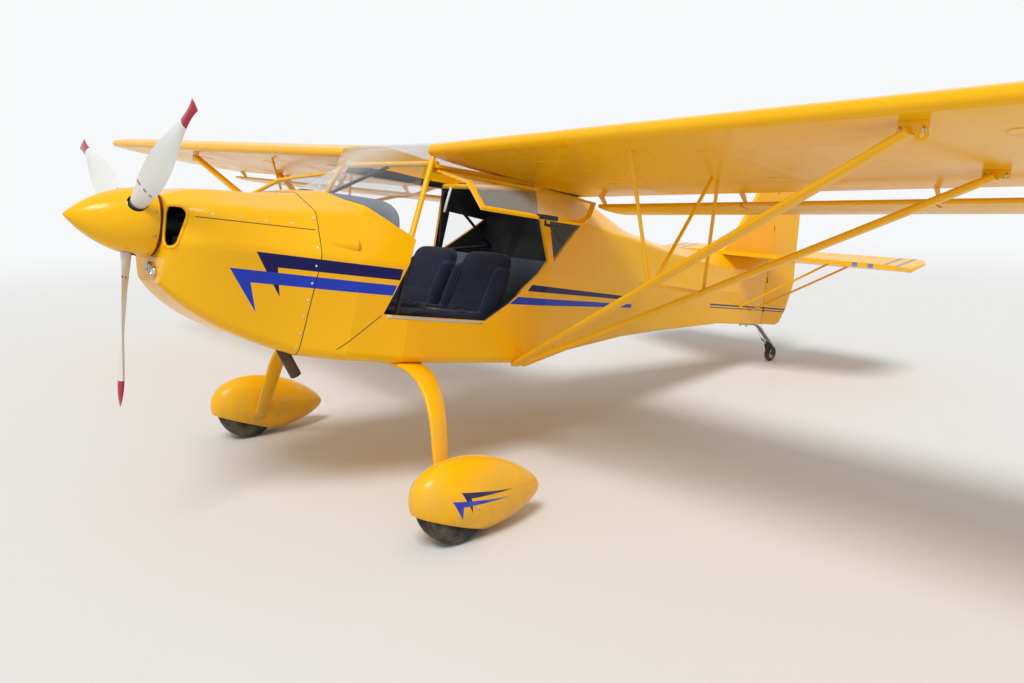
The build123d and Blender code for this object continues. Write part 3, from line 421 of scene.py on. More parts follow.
def plainSurface(name, color, second, roughness, metallic=0.0, grain=300.0, relief=0.0002, wear=None, dustHigh=0.0,
                 coat=0.0, strength=0.4):
    # moulded, cast, rubber or painted surface: two shades in slow patches, a grain and worn edges
    material, tree, shader = newMaterial(name)
    skin = useGroup(tree, "surfaceGrain", Vector=objectPlace(tree), Scale=grain)
    shade = mixColors(ramp(skin.outputs["Shade"], 0.3, 0.7), color, second)
    rough = ramp(skin.outputs["Shade"], 0.25, 0.75, roughness - 0.06, roughness + 0.08)
    if dustHigh:
        dust = useGroup(tree, "roadDust", High=dustHigh, Amount=0.6).outputs[0]
        shade = mixColors(dust, shade, paint["dust"])
        rough = sums("ADD", rough, sums("MULTIPLY", dust, 0.3), clamp=True)
    if wear:
        edge = useGroup(tree, "edgeWear", Radius=wear["radius"], Amount=wear["amount"]).outputs[0]
        shade = mixColors(edge, shade, wear["color"])
    put(tree, shader, Base_Color=shade, Roughness=rough, Metallic=metallic, Coat_Weight=coat, Specular_IOR_Level=0.4,
        Normal=bump(skin.outputs["Height"], strength, relief))
    return material


def tyreRubber(name):
    # rubber with four grooves round the tread, coloured darker inside as painted shade, and a dusty crown
    material, tree, shader = newMaterial(name)
    place = objectPlace(tree)
    skin = useGroup(tree, "surfaceGrain", Vector=place, Scale=420.0)
    across = sums("ABSOLUTE", splitUp(place)[0])
    fromMiddle = sums("ABSOLUTE", sums("SUBTRACT", across, tyreLook["middle"]))
    wave = sums("ABSOLUTE", sums("SINE", sums("MULTIPLY", fromMiddle, tyreLook["groovePitch"])))
    tread = ramp(fromMiddle, tyreLook["treadHalf"] + 0.002, tyreLook["treadHalf"] - 0.002)
    shadedGroove = sums("MULTIPLY", ramp(wave, 0.30, 0.12), tread)
    dust = useGroup(tree, "roadDust", High=0.5, Amount=0.55).outputs[0]
    shade = mixColors(ramp(skin.outputs["Shade"], 0.3, 0.7), tyreLook["dark"], tyreLook["light"])
    shade = mixColors(dust, shade, paint["dust"])
    # painted shade: the grooves are coloured darker to stand in for the shade inside them
    shade = mixColors(shadedGroove, shade, tyreLook["shadedGroove"])
    height = bump(shadedGroove, 0.9, -0.003, Normal=bump(skin.outputs["Height"], 0.4, 0.0003))
    put(tree, shader, Base_Color=shade, Roughness=0.8, Normal=height, Specular_IOR_Level=0.3)
    return material


def bladePaint(name):
    # off-white blades with red tips, red dashes near the root and a dark root
    material, tree, shader = newMaterial(name)
    level = useGroup(tree, "levelCoords").outputs[0]
    x, y, z = splitUp(level)
    radius = sums("SQRT", sums("ADD", sums("POWER", x, 2.0), sums("POWER", z, 2.0)))
    film = useGroup(tree, "paintFilm", Vector=level)
    tip = ramp(radius, bladeLook["tipStart"] - 0.0005, bladeLook["tipStart"] + 0.0005)
    broken = sums("SINE", sums("MULTIPLY", y, bladeLook["dashPitch"]))
    dash = sums("MULTIPLY", between(radius, *bladeLook["dashes"]), ramp(broken, -0.2, -0.05))
    white = mixColors(film.outputs["Tone"], bladeLook["white"], bladeLook["whiteDeep"])
    red = sums("MAXIMUM", tip, sums("MULTIPLY", dash, 0.8))
    color = mixColors(red, white, bladeLook["red"])
    root = ramp(radius, bladeLook["rootEnd"] + 0.002, bladeLook["rootEnd"] - 0.002)
    color = mixColors(root, color, bladeLook["root"])
    put(tree, shader, Base_Color=color, Roughness=0.3, Coat_Weight=0.2, Specular_IOR_Level=0.35,
        Normal=bump(film.outputs["Height"], 0.15, 0.0001))
    return material


def clothCover(name, color, second, threads=1500.0):
    # woven upholstery with a soft sheen
    material, tree, shader = newMaterial(name)
    weave = useGroup(tree, "clothWeave", Vector=objectPlace(tree), Threads=threads)
    shade = mixColors(ramp(weave.outputs["Shade"], 0.3, 0.7), color, second)
    put(tree, shader, Base_Color=shade, Roughness=0.88, Sheen_Weight=0.15, Sheen_Roughness=0.45,
        Specular_IOR_Level=0.25, Normal=bump(weave.outputs["Height"], 0.5, 0.0004))
    return material


bareEdge = {"radius": 0.002, "amount": 0.7, "color": (0.42, 0.41, 0.39)}
wingRibs = {"offset": 0.05, "pitch": 0.305, "relief": 0.0016}
tailBands = ((0.93, 0.965), (1.03, 1.065))
materials = {
    "hullPaint": yellowPaint("hullPaint", stripes="sideStripes", lined=True),
    "wingCloth": yellowPaint("wingCloth", tapes=wingRibs),
    "tailCloth": yellowPaint("tailCloth", stripes="sideStripes", bands=tailBands),
    "flapPaint": yellowPaint("flapPaint"),
    "tubePaint": yellowPaint("tubePaint", dustHigh=0.7),
    "fairingPaint": yellowPaint("fairingPaint", stripes="pantStripes", dustHigh=0.4, outerSide=True),
    "clear": clearSheet("clear"),
    "lens": clearSheet("lens", (0.9, 0.92, 0.95), 0.35),
    "blade": bladePaint("blade"),
    "darkTube": plainSurface("darkTube", (0.012, 0.012, 0.014), (0.02, 0.02, 0.022), 0.42, wear=bareEdge),
    "trim": plainSurface("trim", (0.16, 0.18, 0.22), (0.20, 0.225, 0.27), 0.7, grain=700.0, relief=0.0003),
    "lining": plainSurface("lining", (0.028, 0.030, 0.036), (0.040, 0.043, 0.05), 0.85, grain=500.0, relief=0.0004),
    "baggage": plainSurface("baggage", (0.10, 0.13, 0.18), (0.13, 0.16, 0.21), 0.85, grain=500.0, relief=0.0004),
    "black": plainSurface("black", (0.008, 0.008, 0.009), (0.014, 0.014, 0.015), 0.5, grain=600.0),
    "seatCloth": clothCover("seatCloth", (0.010, 0.013, 0.034), (0.016, 0.020, 0.048)),
    "piping": plainSurface("piping", (0.012, 0.014, 0.03), (0.018, 0.02, 0.04), 0.6, grain=900.0),
    "webbing": clothCover("webbing", (0.012, 0.012, 0.014), (0.03, 0.03, 0.034), 2600.0),
    "rubber": tyreRubber("rubber"),
    "aluminium": plainSurface("aluminium", (0.62, 0.62, 0.62), (0.52, 0.52, 0.51), 0.32, 1.0, 900.0, 0.0001),
    "white": plainSurface("white", (0.75, 0.75, 0.73), (0.66, 0.66, 0.64), 0.4, grain=600.0, relief=0.0001),
    "steel": plainSurface("steel", (0.40, 0.39, 0.38), (0.28, 0.27, 0.26), 0.42, 1.0, 700.0, 0.0001, dustHigh=0.5),
    "cast": plainSurface("cast", (0.16, 0.16, 0.165), (0.10, 0.10, 0.10), 0.6, 0.6, 350.0, 0.0005),
    "exhaust": plainSurface("exhaust", (0.11, 0.065, 0.04), (0.05, 0.032, 0.024), 0.5, 0.8, 500.0, 0.0002),
    "gapRing": plainSurface("gapRing", (0.14, 0.018, 0.012), (0.09, 0.012, 0.01), 0.55, grain=600.0),
    "dialGlass": plainSurface("dialGlass", (0.006, 0.007, 0.009), (0.01, 0.011, 0.013), 0.12, coat=0.6, strength=0.0),
}
finishes = {                          # a star stands for the left one and the right one
    "hullPaint": ["engine_cowl", "boot_cowl", "cabin_shell", "rear_fuselage", "spinner", "roof_fairing"],
    "wingCloth": ["wing_*"],
    "tailCloth": ["fin", "rudder", "elevator", "stabilizer_*"],
    "flapPaint": ["flaperon_*"],
    "tubePaint": ["front_strut_*", "rear_strut_*", "jury_struts", "stabilizer_struts", "gear_leg_*", "strut_brackets",
                  "door_frame_*", "door_rails", "cabin_frame"],
    "fairingPaint": ["wheel_pant_*"],
    "clear": ["windshield", "skylight", "rear_windows", "door_glass_*"],
    "blade": ["propeller_blades"],
    "darkTube": ["control_sticks", "tailwheel_fork", "seat_base"],
    "trim": ["instrument_panel"],
    "baggage": ["rear_bulkhead"],
    "lining": ["floor_pan"],
    "seatCloth": ["seat_*"],
    "rubber": ["tyre_*", "tailwheel_tyre"],
    "aluminium": ["rim_*", "tailwheel_rim", "firewall"],
    "steel": ["axles", "tail_spring"],
    "cast": ["engine_block"],
    "exhaust": ["exhaust_pipe"],
}
for finish, names in finishes.items():
    for name in sorted({name.replace("*", side) for name in names for side in ("left", "right")}):
        nodes[name].data.materials.clear()
        nodes[name].data.materials.append(materials[finish])
print("stage: materials assigned")


# Ways to build pieces: grids of points in the level frame, joined into one mesh a piece
bothSides = ((1, "Left"), (-1, "Right"))
outside = 1.5                         # far enough from the middle to be outside the fuselage
weldGap = 1e-5
depsgraph = bpy.context.evaluated_depsgraph_get()
trees = {}                            # for rays, by the node they hit


def meshPoints(mesh):
    # a mesh's vertices as an array with one row a point
    points = np.empty(len(mesh.vertices) * 3)
    mesh.vertices.foreach_get("co", points)
    return points.reshape(-1, 3)


def gridFaces(rows, columns):
    # quads between neighbouring rows and columns, the columns wrapped round
    i, j = np.meshgrid(np.arange(rows - 1), np.arange(columns), indexing="ij")
    nextColumn = (j + 1) % columns
    corners = [i * columns + j, i * columns + nextColumn, (i + 1) * columns + nextColumn, (i + 1) * columns + j]
    return np.stack(corners, axis=-1).reshape(-1, 4)


def addPiece(name, grids, material, body="airframe", smooth=True):
    # one mesh of several closed grids; each grid is rows of points that close on themselves
    points, faces, count = [], [], 0
    for grid in grids:
        rows, columns = grid.shape[:2]
        points.append(grid.reshape(-1, 3))
        faces.append(gridFaces(rows, columns) + count)
        count += rows * columns
    mesh = bpy.data.meshes.new(name)
    mesh.from_pydata(rowPoints(np.concatenate(points)).tolist(), [], np.concatenate(faces).tolist())
    work = bmesh.new()
    work.from_mesh(mesh)
    bmesh.ops.remove_doubles(work, verts=work.verts, dist=weldGap)
    bmesh.ops.recalc_face_normals(work, faces=work.faces)
    work.to_mesh(mesh)
    work.free()
    mesh.polygons.foreach_set("use_smooth", np.full(len(mesh.polygons), smooth))
    mesh.materials.append(materials[material])
    piece = bpy.data.objects.new(name, mesh)
    scene.collection.objects.link(piece)
    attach(piece, body)
    return piece


def unit(vectors):
    return vectors / np.maximum(np.linalg.norm(vectors, axis=-1, keepdims=True), 1e-12)


def soft(value, power):
    # sign(t) |t|^power, which draws a circle's corners out for powers below 1
    return np.sign(value) * np.abs(value) ** power


def closeEnds(grid):
    # the middles of the first and last rows, each repeated as a row, so that both ends close on a point
    first, last = (np.broadcast_to(grid[k].mean(0), grid[:1].shape) for k in (0, -1))
    return np.concatenate([first, grid, last])


def alongPath(path, section, lift=(0, 0, 1)):
    # section carried along a path: point = path + across * side + up * lift, with side = way x lift; ends closed
    path, section = np.asarray(path, float), np.asarray(section, float)
    lift = np.broadcast_to(np.asarray(lift, float), path.shape)
    way = unit(np.gradient(path, axis=0))
    side = unit(np.cross(way, lift))
    up = np.cross(side, way)
    section = np.broadcast_to(section, (len(path), *section.shape[-2:]))
    return closeEnds(path[:, None] + side[:, None] * section[..., :1] + up[:, None] * section[..., 1:])


def spokes(turn):
    # directions square to the thrust line, one for each angle in radians
    return np.stack([np.cos(turn), 0 * turn, np.sin(turn)], -1)


def roundSection(radius, corners):
    turn = np.linspace(0, 2 * np.pi, corners, endpoint=False)
    return radius * np.stack([np.cos(turn), np.sin(turn)], -1)


def flatSection(width, thick, corner=None):
    # rounded strip: straight edges joined by short corners; the width may be one number or one for each row
    half, high = np.asarray(width) / 2, thick / 2
    corner = 0.3 * thick if corner is None else corner
    across = (half, half - corner, corner - half, -half, -half, corner - half, half - corner, half)
    upward = (high - corner, high, high, high - corner, corner - high, -high, -high, corner - high)
    return np.stack([np.stack([x, z + 0 * half], -1) for x, z in zip(across, upward)], -2)


def smoothPath(points, steps):
    # cubic through the points: Catmull-Rom weights on four neighbours, the ends repeated
    points = np.asarray(points, float)
    ends = np.concatenate([2 * points[:1] - points[1:2], points, 2 * points[-1:] - points[-2:-1]])
    t = np.linspace(0, 1, steps, endpoint=False)[None, :, None]
    a, b, c, d = (ends[k:len(ends) - 3 + k][:, None] for k in range(4))
    curve = 0.5 * (2 * b + (c - a) * t + (2 * a - 5 * b + 4 * c - d) * t ** 2 + (3 * b - a - 3 * c + d) * t ** 3)
    return np.concatenate([curve.reshape(-1, 3), points[-1:]])


def tube(points, radius, side=1, steps=6, corners=14, lift=(0.3, 0.2, 1)):
    # a round tube through the points, mirrored for the right side
    path = smoothPath(np.array(points) * (side, 1, 1), steps)
    return alongPath(path, roundSection(radius, corners), lift)


def turnedAt(place, axis, profile, sides=20):
    # rows of (radius, height) turned: point = place + height * axis + radius * (cos u * first + sin u * second)
    place, axis, profile = np.asarray(place, float), unit(np.asarray(axis, float)), np.asarray(profile, float)
    other = np.array((0, 0, 1.0)) if abs(axis[2]) < 0.9 else np.array((1.0, 0, 0))
    first = unit(np.cross(axis, other))
    second = np.cross(axis, first)
    turn = np.linspace(0, 2 * np.pi, sides, endpoint=False)[None, :, None]
    ring = np.cos(turn) * first + np.sin(turn) * second
    return place + profile[:, None, 1:] * axis + profile[:, None, :1] * ring


def superBox(low, high, power, lean=0.0):
    # rounded box: p = middle + half * s(cos v) s(cos u), s(cos v) s(sin u), s(sin v), where s(t) = sign(t) |t|^power
    low, high = np.array(low, float), np.array(high, float)
    v = np.linspace(-np.pi / 2, np.pi / 2, 27)[:, None]
    u = np.linspace(0, 2 * np.pi, 52, endpoint=False)[None]
    ring = soft(np.cos(v), power)
    ball = [ring * soft(np.cos(u), power), ring * soft(np.sin(u), power), soft(np.sin(v), power) + 0 * u]
    points = (low + high) / 2 + np.stack(ball, -1) * (high - low) / 2
    points[..., 1] += (points[..., 2] - low[2]) * lean
    return points


def ontoSurface(names, points, way):
    # level points dropped along the way (one for all, or one each): places and normals in the level frame
    spin = np.array(toLevel.to_3x3())
    ways = np.broadcast_to(np.asarray(way, float), np.shape(points)) @ spin
    places, normals = [], []
    for start, direction in zip(rowPoints(points), ways):
        best = None
        for name in names:
            if name not in trees:
                trees[name] = BVHTree.FromObject(nodes[name], depsgraph)
            hit = trees[name].ray_cast(Vector(start), Vector(direction))
            if hit[0] is not None and (best is None or hit[3] < best[3]):
                best = hit
        if best is not None:
            places.append(best[0])
            normals.append(best[1] if best[1].dot(Vector(direction)) < 0 else -best[1])
    return levelPoints(places), np.array(normals) @ spin.T


def onSide(names, ends, side, steps):
    # a straight line of the side view, between two (y, z), dropped onto that side of the fuselage
    first, last = ends
    line = np.linspace((outside * side, *first), (outside * side, *last), steps)
    return ontoSurface(names, line, (-side, 0, 0))


def roundTheBody(names, y, first, last, steps, centre=-0.16):
    # a line round the fuselage at one y: rays from outside towards the point (0, y, centre)
    out = spokes(np.radians(np.linspace(first, last, steps)))
    return ontoSurface(names, np.array((0, y, centre)) + 1.6 * out, -out)


print("stage: tools for pieces ready")

# Seams and fasteners: profiles are rows of (radius, height) above the skin
seam = {"width": 0.0035, "proud": 0.0010, "steps": 30}
studProfile = [(0, 0.0012), (0.0012, 0.0013), (0.0016, 0.0019), (0.0040, 0.0016), (0.0055, 0.0004), (0.0058, -0.001),
               (0, -0.001)]
boltProfile = [(0, 0.007), (0.005, 0.007), (0.0065, 0.0055), (0.0068, 0.0015), (0.0115, 0.0015), (0.0115, -0.002),
               (0, -0.002)]


def seamLine(places, normals, width=seam["width"], proud=seam["proud"]):
    return alongPath(places, flatSection(width, 2 * proud), normals)


def studsAt(places, normals, profile=studProfile, sides=14):
    return [turnedAt(place, normal, profile, sides) for place, normal in zip(places, normals)]


# Nose: lines are two (y, z) ends, arcs are degrees round the body, studs stand along rows and columns
nose = {"sideSeam": ((0.44, 0.048), (0.925, 0.048)), "bootSeam": ((1.086, -0.489), (1.262, -0.312)),
        "firewall": 0.938, "firewallArcs": {"Top": (20, 160), "Left": (-62, 22), "Right": (158, 242)},
        "studRow": 0.066, "studsAlong": (0.50, 0.61, 0.72, 0.83),
        "studColumn": 0.925, "studsDown": (0.10, -0.03, -0.11, -0.19, -0.27, -0.35, -0.43, -0.50),
        "studArch": 0.920, "studsAcross": (-0.30, -0.18, -0.06, 0.06, 0.18, 0.30)}
inlet = {"x": 0.205, "z": -0.002, "halfWide": 0.056, "halfHigh": 0.0885, "power": 0.6, "bead": 0.0065}
gapRing = {"y": 0.3465, "profile": [(0, 0), (0.141, 0), (0.144, 0.003), (0.144, 0.0125), (0.141, 0.015), (0, 0.015)]}
lamp = {"places": [(0.010, 0.358, -0.190), (0.075, 0.358, -0.206)],
        "bowl": [(0, -0.012), (0.021, -0.012), (0.0235, 0), (0.0235, 0.009), (0.021, 0.012), (0.018, 0.010),
                 (0.017, 0.004), (0.008, -0.002), (0, -0.003)],
        "lens": [(0, 0.0115), (0.008, 0.0108), (0.0155, 0.0082), (0.0182, 0.0052), (0.0182, 0.004), (0, 0.0065)]}
vent = {"front": 0.973, "length": 0.137, "height": -0.005, "half": 0.026, "frontShare": 0.35, "proud": 0.016,
        "sunk": 0.012, "rise": 0.8, "mouth": 0.86, "shadeSheetDepth": (0.002, 0.0008)}
exhaust = {"pipe": [(0.150, 0.800, -0.300), (0.215, 0.815, -0.350), (0.248, 0.848, -0.430), (0.250, 0.905, -0.525),
                    (0.250, 0.980, -0.637)], "radius": 0.027,
           "muffler": ((-0.13, 0.80, -0.30), (0.17, 0.80, -0.30)), "mufflerRadius": 0.062}


def dressNose():
    cowls = ["engine_cowl", "boot_cowl"]
    lines = [seamLine(*onSide([name], ends, side, seam["steps"]))
             for name, ends in zip(cowls, (nose["sideSeam"], nose["bootSeam"])) for side, _ in bothSides]
    addPiece("cowlSeams", lines, "black")
    for part, (first, last) in nose["firewallArcs"].items():
        line = roundTheBody(["engine_cowl"], nose["firewall"], first, last, 60)
        addPiece("firewallSeam" + part, [seamLine(*line)], "black")
    studs = []
    for side, _ in bothSides:
        spots = [(outside * side, y, nose["studRow"]) for y in nose["studsAlong"]]
        spots += [(outside * side, nose["studColumn"], z) for z in nose["studsDown"]]
        studs += studsAt(*ontoSurface(cowls, spots, (-side, 0, 0)))
    spots = [(x, nose["studArch"], outside) for x in nose["studsAcross"]]
    studs += studsAt(*ontoSurface(cowls, spots, (0, 0, -1)))
    addPiece("cowlFasteners", studs, "aluminium")

    # lips round the two inlets: the rounded outline (halfWide s(cos u), halfHigh s(sin u)), where
    # s(t) = sign(t) |t|^power, dropped onto the nose from the front
    turn = np.linspace(0, 2 * np.pi, 49)
    lips = []
    for side, _ in bothSides:
        x = side * inlet["x"] + inlet["halfWide"] * soft(np.cos(turn), inlet["power"])
        z = inlet["z"] + inlet["halfHigh"] * soft(np.sin(turn), inlet["power"])
        places, _ = ontoSurface(["engine_cowl"], np.stack([x, 0 * x + 0.1, z], -1), (0, 1, 0))
        lips.append(alongPath(places, roundSection(inlet["bead"], 12), (0, -1, 0)))
    addPiece("inletLips", lips, "hullPaint")
    addPiece("spinnerGapRing", [turnedAt((0, gapRing["y"], 0), (0, 1, 0), gapRing["profile"], 64)], "gapRing")
    for name, part, material in (("lampBowls", "bowl", "aluminium"), ("lampLenses", "lens", "lens")):
        addPiece(name, [turnedAt(place, (0, -1, 0), lamp[part], 32) for place in lamp["places"]], material)
    for side, label in bothSides:
        makeVent(vent, side, label)
    muffler = alongPath(np.linspace(*exhaust["muffler"], 14), roundSection(exhaust["mufflerRadius"], 28))
    pipe = tube(exhaust["pipe"], exhaust["radius"], steps=8, corners=24, lift=(1, 0, 0))
    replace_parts(addPiece("exhaustSystem", [pipe, muffler], "exhaust"), "exhaust_pipe")
    print("stage: nose dressed")


def makeVent(look, side, label):
    # cooling vent on the boot cowl: a half shell, proud * sqrt(1 - arc^2) off the skin, that rises towards its mouth,
    # where a black sheet stands in for the shade inside the opening (painted shade)
    share, arc = np.linspace(0, 1, 16), np.linspace(-1, 1, 21)
    rows = np.array([(outside * side, look["front"] + look["length"] * s, look["height"]) for s in share])
    base, _ = ontoSurface(["boot_cowl"], rows, (-side, 0, 0))
    high = look["half"] * (look["frontShare"] + (1 - look["frontShare"]) * np.sqrt(share))[:, None] * arc[None]
    proud = look["proud"] * (share ** look["rise"])[:, None] * np.sqrt(np.maximum(1 - arc ** 2, 0))[None]
    outer = np.stack([base[:, :1] + side * proud, base[:, 1:2] + 0 * high, look["height"] + high], -1)
    inner = outer[:, ::-1].copy()
    inner[..., 0] = base[:, :1] - side * look["sunk"]
    shell = np.concatenate([outer, inner], 1)
    addPiece("ventShell" + label, [closeEnds(shell)], "hullPaint")
    # painted shade: a thin black sheet across the vent's opening stands in for the shade inside it
    mouth = shell[-1].mean(0) + (shell[-1] - shell[-1].mean(0)) * look["mouth"]
    ahead, behind = look["shadeSheetDepth"]
    slab = np.stack([mouth - (0, ahead, 0), mouth + (0, behind, 0)])
    addPiece("ventShadeSheet" + label, [closeEnds(slab)], "black")


# Propeller: dark cuffs where the blades leave the spinner, and the spinner's screws
propeller = {"firstBlade": 4.5, "cuffAt": 0.118, "screwsAt": 0.328, "firstScrew": 20, "screwStep": 40,
             "cuff": [(0, 0), (0.0325, 0), (0.0345, 0.003), (0.0345, 0.013), (0.031, 0.016), (0, 0.016)]}


def dressPropeller():
    cuffs = []
    for turn in np.radians(propeller["firstBlade"] + 120 * np.arange(3)):
        way = np.array((np.sin(turn), 0, -np.cos(turn)))
        cuffs.append(turnedAt(np.array(discPlace) + way * propeller["cuffAt"], way, propeller["cuff"], 28))
    addPiece("bladeCuffs", cuffs, "black", "propeller")
    out = spokes(np.radians(propeller["firstScrew"] + np.arange(0, 360, propeller["screwStep"])))
    screws = ontoSurface(["spinner"], np.array((0, propeller["screwsAt"], 0)) + 0.6 * out, -out)
    addPiece("spinnerScrews", studsAt(*screws), "steel", "propeller")


# Cabin: tubes as their points and radius, the sill's strip, the pedals and the hood over the panel
frameNode, roofNode, windowNode = (0.486, 2.304, 0.02), (0.404, 2.222, 0.392), (0.345, 2.59, 0.08)
cabin = {"tubes": [([frameNode, roofNode], 0.012), ([frameNode, windowNode], 0.009),
                   ([frameNode, (0.47, 2.17, -0.50)], 0.012), ([(0.470, 1.42, 0.05), (0.475, 1.33, -0.50)], 0.011),
                   ([roofNode, windowNode], 0.009)],
         "sill": ((1.29, -0.3175), (1.86, -0.3265)), "sillWidth": 0.013, "sillProud": 0.0018,
         "screenMiddle": 1.47, "sealReach": 0.006, "sealTurns": (-78, 79, 4), "sealWidth": 0.016, "sealThick": 0.007,
         "brace": [(0, 1.215, 0.240), (0, 1.545, 0.420)], "braceRadius": 0.009}
pedal = {"across": (0.255, 0.365), "half": 0.038, "bar": (1.172, -0.345), "barRadius": 0.011,
         "arm": [(1.172, -0.345), (1.20, -0.43), (1.22, -0.515)], "armRadius": 0.007}
hood = {"rows": (1.10, 1.345, 22), "stations": (1.10, 1.15, 1.21, 1.29, 1.345),
        "half": (0.20, 0.315, 0.395, 0.438, 0.455), "top": 0.238, "below": 0.012, "power": 0.62,
        "narrower": 0.965, "thick": 0.018}


def screenFoot(y):
    # height of the windscreen's sloping base line
    return 0.235 - 0.5556 * (y - 1.076)


def dressCabin():
    # dark strip along the windscreen's foot: the outermost points of its base in plan, bin by bin
    places = levelPoints(meshPoints(nodes["windshield"].data))
    base = places[np.abs(places[:, 2] - screenFoot(places[:, 1])) < cabin["sealReach"]]
    ahead = cabin["screenMiddle"] - base[:, 1]
    angle, reach = np.degrees(np.arctan2(base[:, 0], ahead)), np.hypot(base[:, 0], ahead)
    bins = [np.abs(angle - turn) < cabin["sealTurns"][2] / 2 for turn in np.arange(*cabin["sealTurns"])]
    foot = smoothPath([base[near][np.argmax(reach[near])] for near in bins if near.any()], 4)
    strip = flatSection(cabin["sealWidth"], cabin["sealThick"])
    addPiece("windscreenSeal", [alongPath(foot, strip, (0, -0.35, 0.94))], "black")

    for side, label in bothSides:
        addPiece("cabinTubes" + label, [tube(*row, side) for row in cabin["tubes"]], "darkTube")
        strip = onSide(["cabin_shell", "boot_cowl"], cabin["sill"], side, 30)
        addPiece("sillStrip" + label, [seamLine(*strip, cabin["sillWidth"], cabin["sillProud"])], "aluminium")
        pedals = []
        for x in pedal["across"]:
            bar = [(side * (x + way * pedal["half"]), *pedal["bar"]) for way in (-1, 1)]
            pedals.append(alongPath(bar, roundSection(pedal["barRadius"], 12)))
            pedals.append(tube([(x, y, z) for y, z in pedal["arm"]], pedal["armRadius"], side))
        addPiece("rudderPedals" + label, pedals, "aluminium")

    # padded hood over the panel, its foot on the windscreen's base line: an arch with
    # x = half s(cos u), z = lowest + (top - lowest) |sin u|^power, where s(t) = sign(t) |t|^power
    rows = np.linspace(*hood["rows"])[:, None]
    half = np.interp(rows, hood["stations"], hood["half"])
    lowest = screenFoot(rows) - hood["below"]
    bend = np.linspace(0, np.pi, 41)[None]
    arch = np.stack([half * soft(np.cos(bend), hood["power"]), rows + 0 * bend,
                     lowest + (hood["top"] - lowest) * np.abs(np.sin(bend)) ** hood["power"]], -1)
    under = arch[:, ::-1] * (hood["narrower"], 1, 1) - (0, 0, hood["thick"])
    addPiece("glareShield", [closeEnds(np.concatenate([arch, under], 1))], "trim")
    addPiece("windscreenBrace", [tube(cabin["brace"], cabin["braceRadius"], lift=(0, 0, 1))], "darkTube")
    print("stage: cabin tubes, strips and pedals in place")


# Panel: dials in two groups of rows, a radio stack, switches and knobs on its aft face
panel = {"face": 1.3035, "bigDials": ((-0.33, -0.235, -0.14), (0.09, -0.005), 0.040),
         "smallDials": ((0.145, 0.215, 0.285, 0.355), (0.10, 0.028), 0.029), "radios": (0.10, 0.048, -0.004),
         "radioHalf": (0.075, 0.021), "radioKnobs": (-0.058, 0.058), "switches": (0.13, 0.37, 0.028),
         "switchesAt": -0.075, "knobsAt": -0.12, "throttle": 0.02, "choke": -0.05, "chokeSize": 0.75,
         "handLength": 0.72, "handProud": 0.0035, "handRadius": 0.0013, "handTurn": 1.9,
         "handSpread": 5,                 # sets each dial's hand to a different reading
         "radioDepth": (-0.004, 0.011),
         "bezel": [(0, -0.004), (1, -0.004), (1, 0.004), (0.94, 0.006), (0.86, 0.004), (0.84, 0.0015), (0, 0.0015)],
         "glass": [(0, 0.0024), (0.82, 0.0024), (0.84, 0.001), (0, 0.001)],
         "knob": [(0, 0.014), (0.007, 0.013), (0.0085, 0.010), (0.0085, 0), (0, 0)],
         "switch": [(0, 0.022), (0.004, 0.021), (0.005, 0.016), (0.004, 0), (0, 0)],
         "plunger": [(0, 0.085), (0.012, 0.083), (0.017, 0.076), (0.016, 0.066), (0.006, 0.058), (0.0045, 0.0),
                     (0, 0.0)]}


def dressPanel():
    face = panel["face"]

    def onFace(x, z, profile, sides, scale=1, proud=0.0):
        return turnedAt((x, face + proud, z), (0, 1, 0), np.array(panel[profile]) * scale, sides)

    dials = [(x, z, radius) for across, heights, radius in (panel["bigDials"], panel["smallDials"])
             for x in across for z in heights]
    for name, profile, material in (("dialRings", "bezel", "black"), ("dialFaces", "glass", "dialGlass")):
        addPiece(name, [onFace(x, z, profile, 28, (radius, 1)) for x, z, radius in dials], material)
    hands = []
    for x, z, radius in dials:
        turn = panel["handTurn"] + panel["handSpread"] * (x + z)
        start, length = np.array((x, face + panel["handProud"], z)), panel["handLength"] * radius
        tip = start + length * np.array((math.cos(turn), 0, math.sin(turn)))
        hands.append(alongPath([start, tip], roundSection(panel["handRadius"], 6)))
    addPiece("dialHands", hands, "white")
    (wide, high), (back, proud) = panel["radioHalf"], panel["radioDepth"]
    boxes = [superBox((-wide, face + back, z - high), (wide, face + proud, z + high), 0.18) for z in panel["radios"]]
    addPiece("radioStack", boxes, "black")
    knobs = [onFace(x, z, "knob", 18, proud=proud) for z in panel["radios"] for x in panel["radioKnobs"]]
    knobs += [onFace(x, panel["switchesAt"], "switch", 12) for x in np.arange(*panel["switches"])]
    addPiece("panelKnobs", knobs, "aluminium")
    addPiece("throttleKnob", [onFace(panel["throttle"], panel["knobsAt"], "plunger", 24)], "black")
    addPiece("chokeKnob", [onFace(panel["choke"], panel["knobsAt"], "plunger", 24, panel["chokeSize"])], "gapRing")
    print("stage: instrument panel dressed")


# Seats: the blocks are a little smaller than the finished pad; seams are a first place and a step between them
seatShape = {"voxel": 0.008, "pressure": 4.0, "frames": 20, "cap": 0.012, "quality": 5, "lean": 0.3312,
             "inner": 0.032, "outer": 0.442, "bolster": 0.062, "front": 1.490, "low": -0.392, "top": -0.304,
             "backLow": -0.36, "backTop": 0.035, "rear": 2.02, "backFront": 1.935, "backRear": 2.012,
             "bolsterRear": 1.99, "bolsterFront": 1.905, "bolsterBack": 2.010, "bolsterProud": 0.024,
             "bolsterDrop": 0.075, "bolsterInset": 0.01, "backInset": 0.02, "backAbove": 0.035, "heldLow": 0.02,
             "heldRear": 2.0, "cushionPower": 0.28, "backPower": 0.34, "bolsterPower": 0.5,
             "cushionSeams": (1.52, 0.13), "backSeams": (-0.25, 0.088), "seamHalf": 0.004}


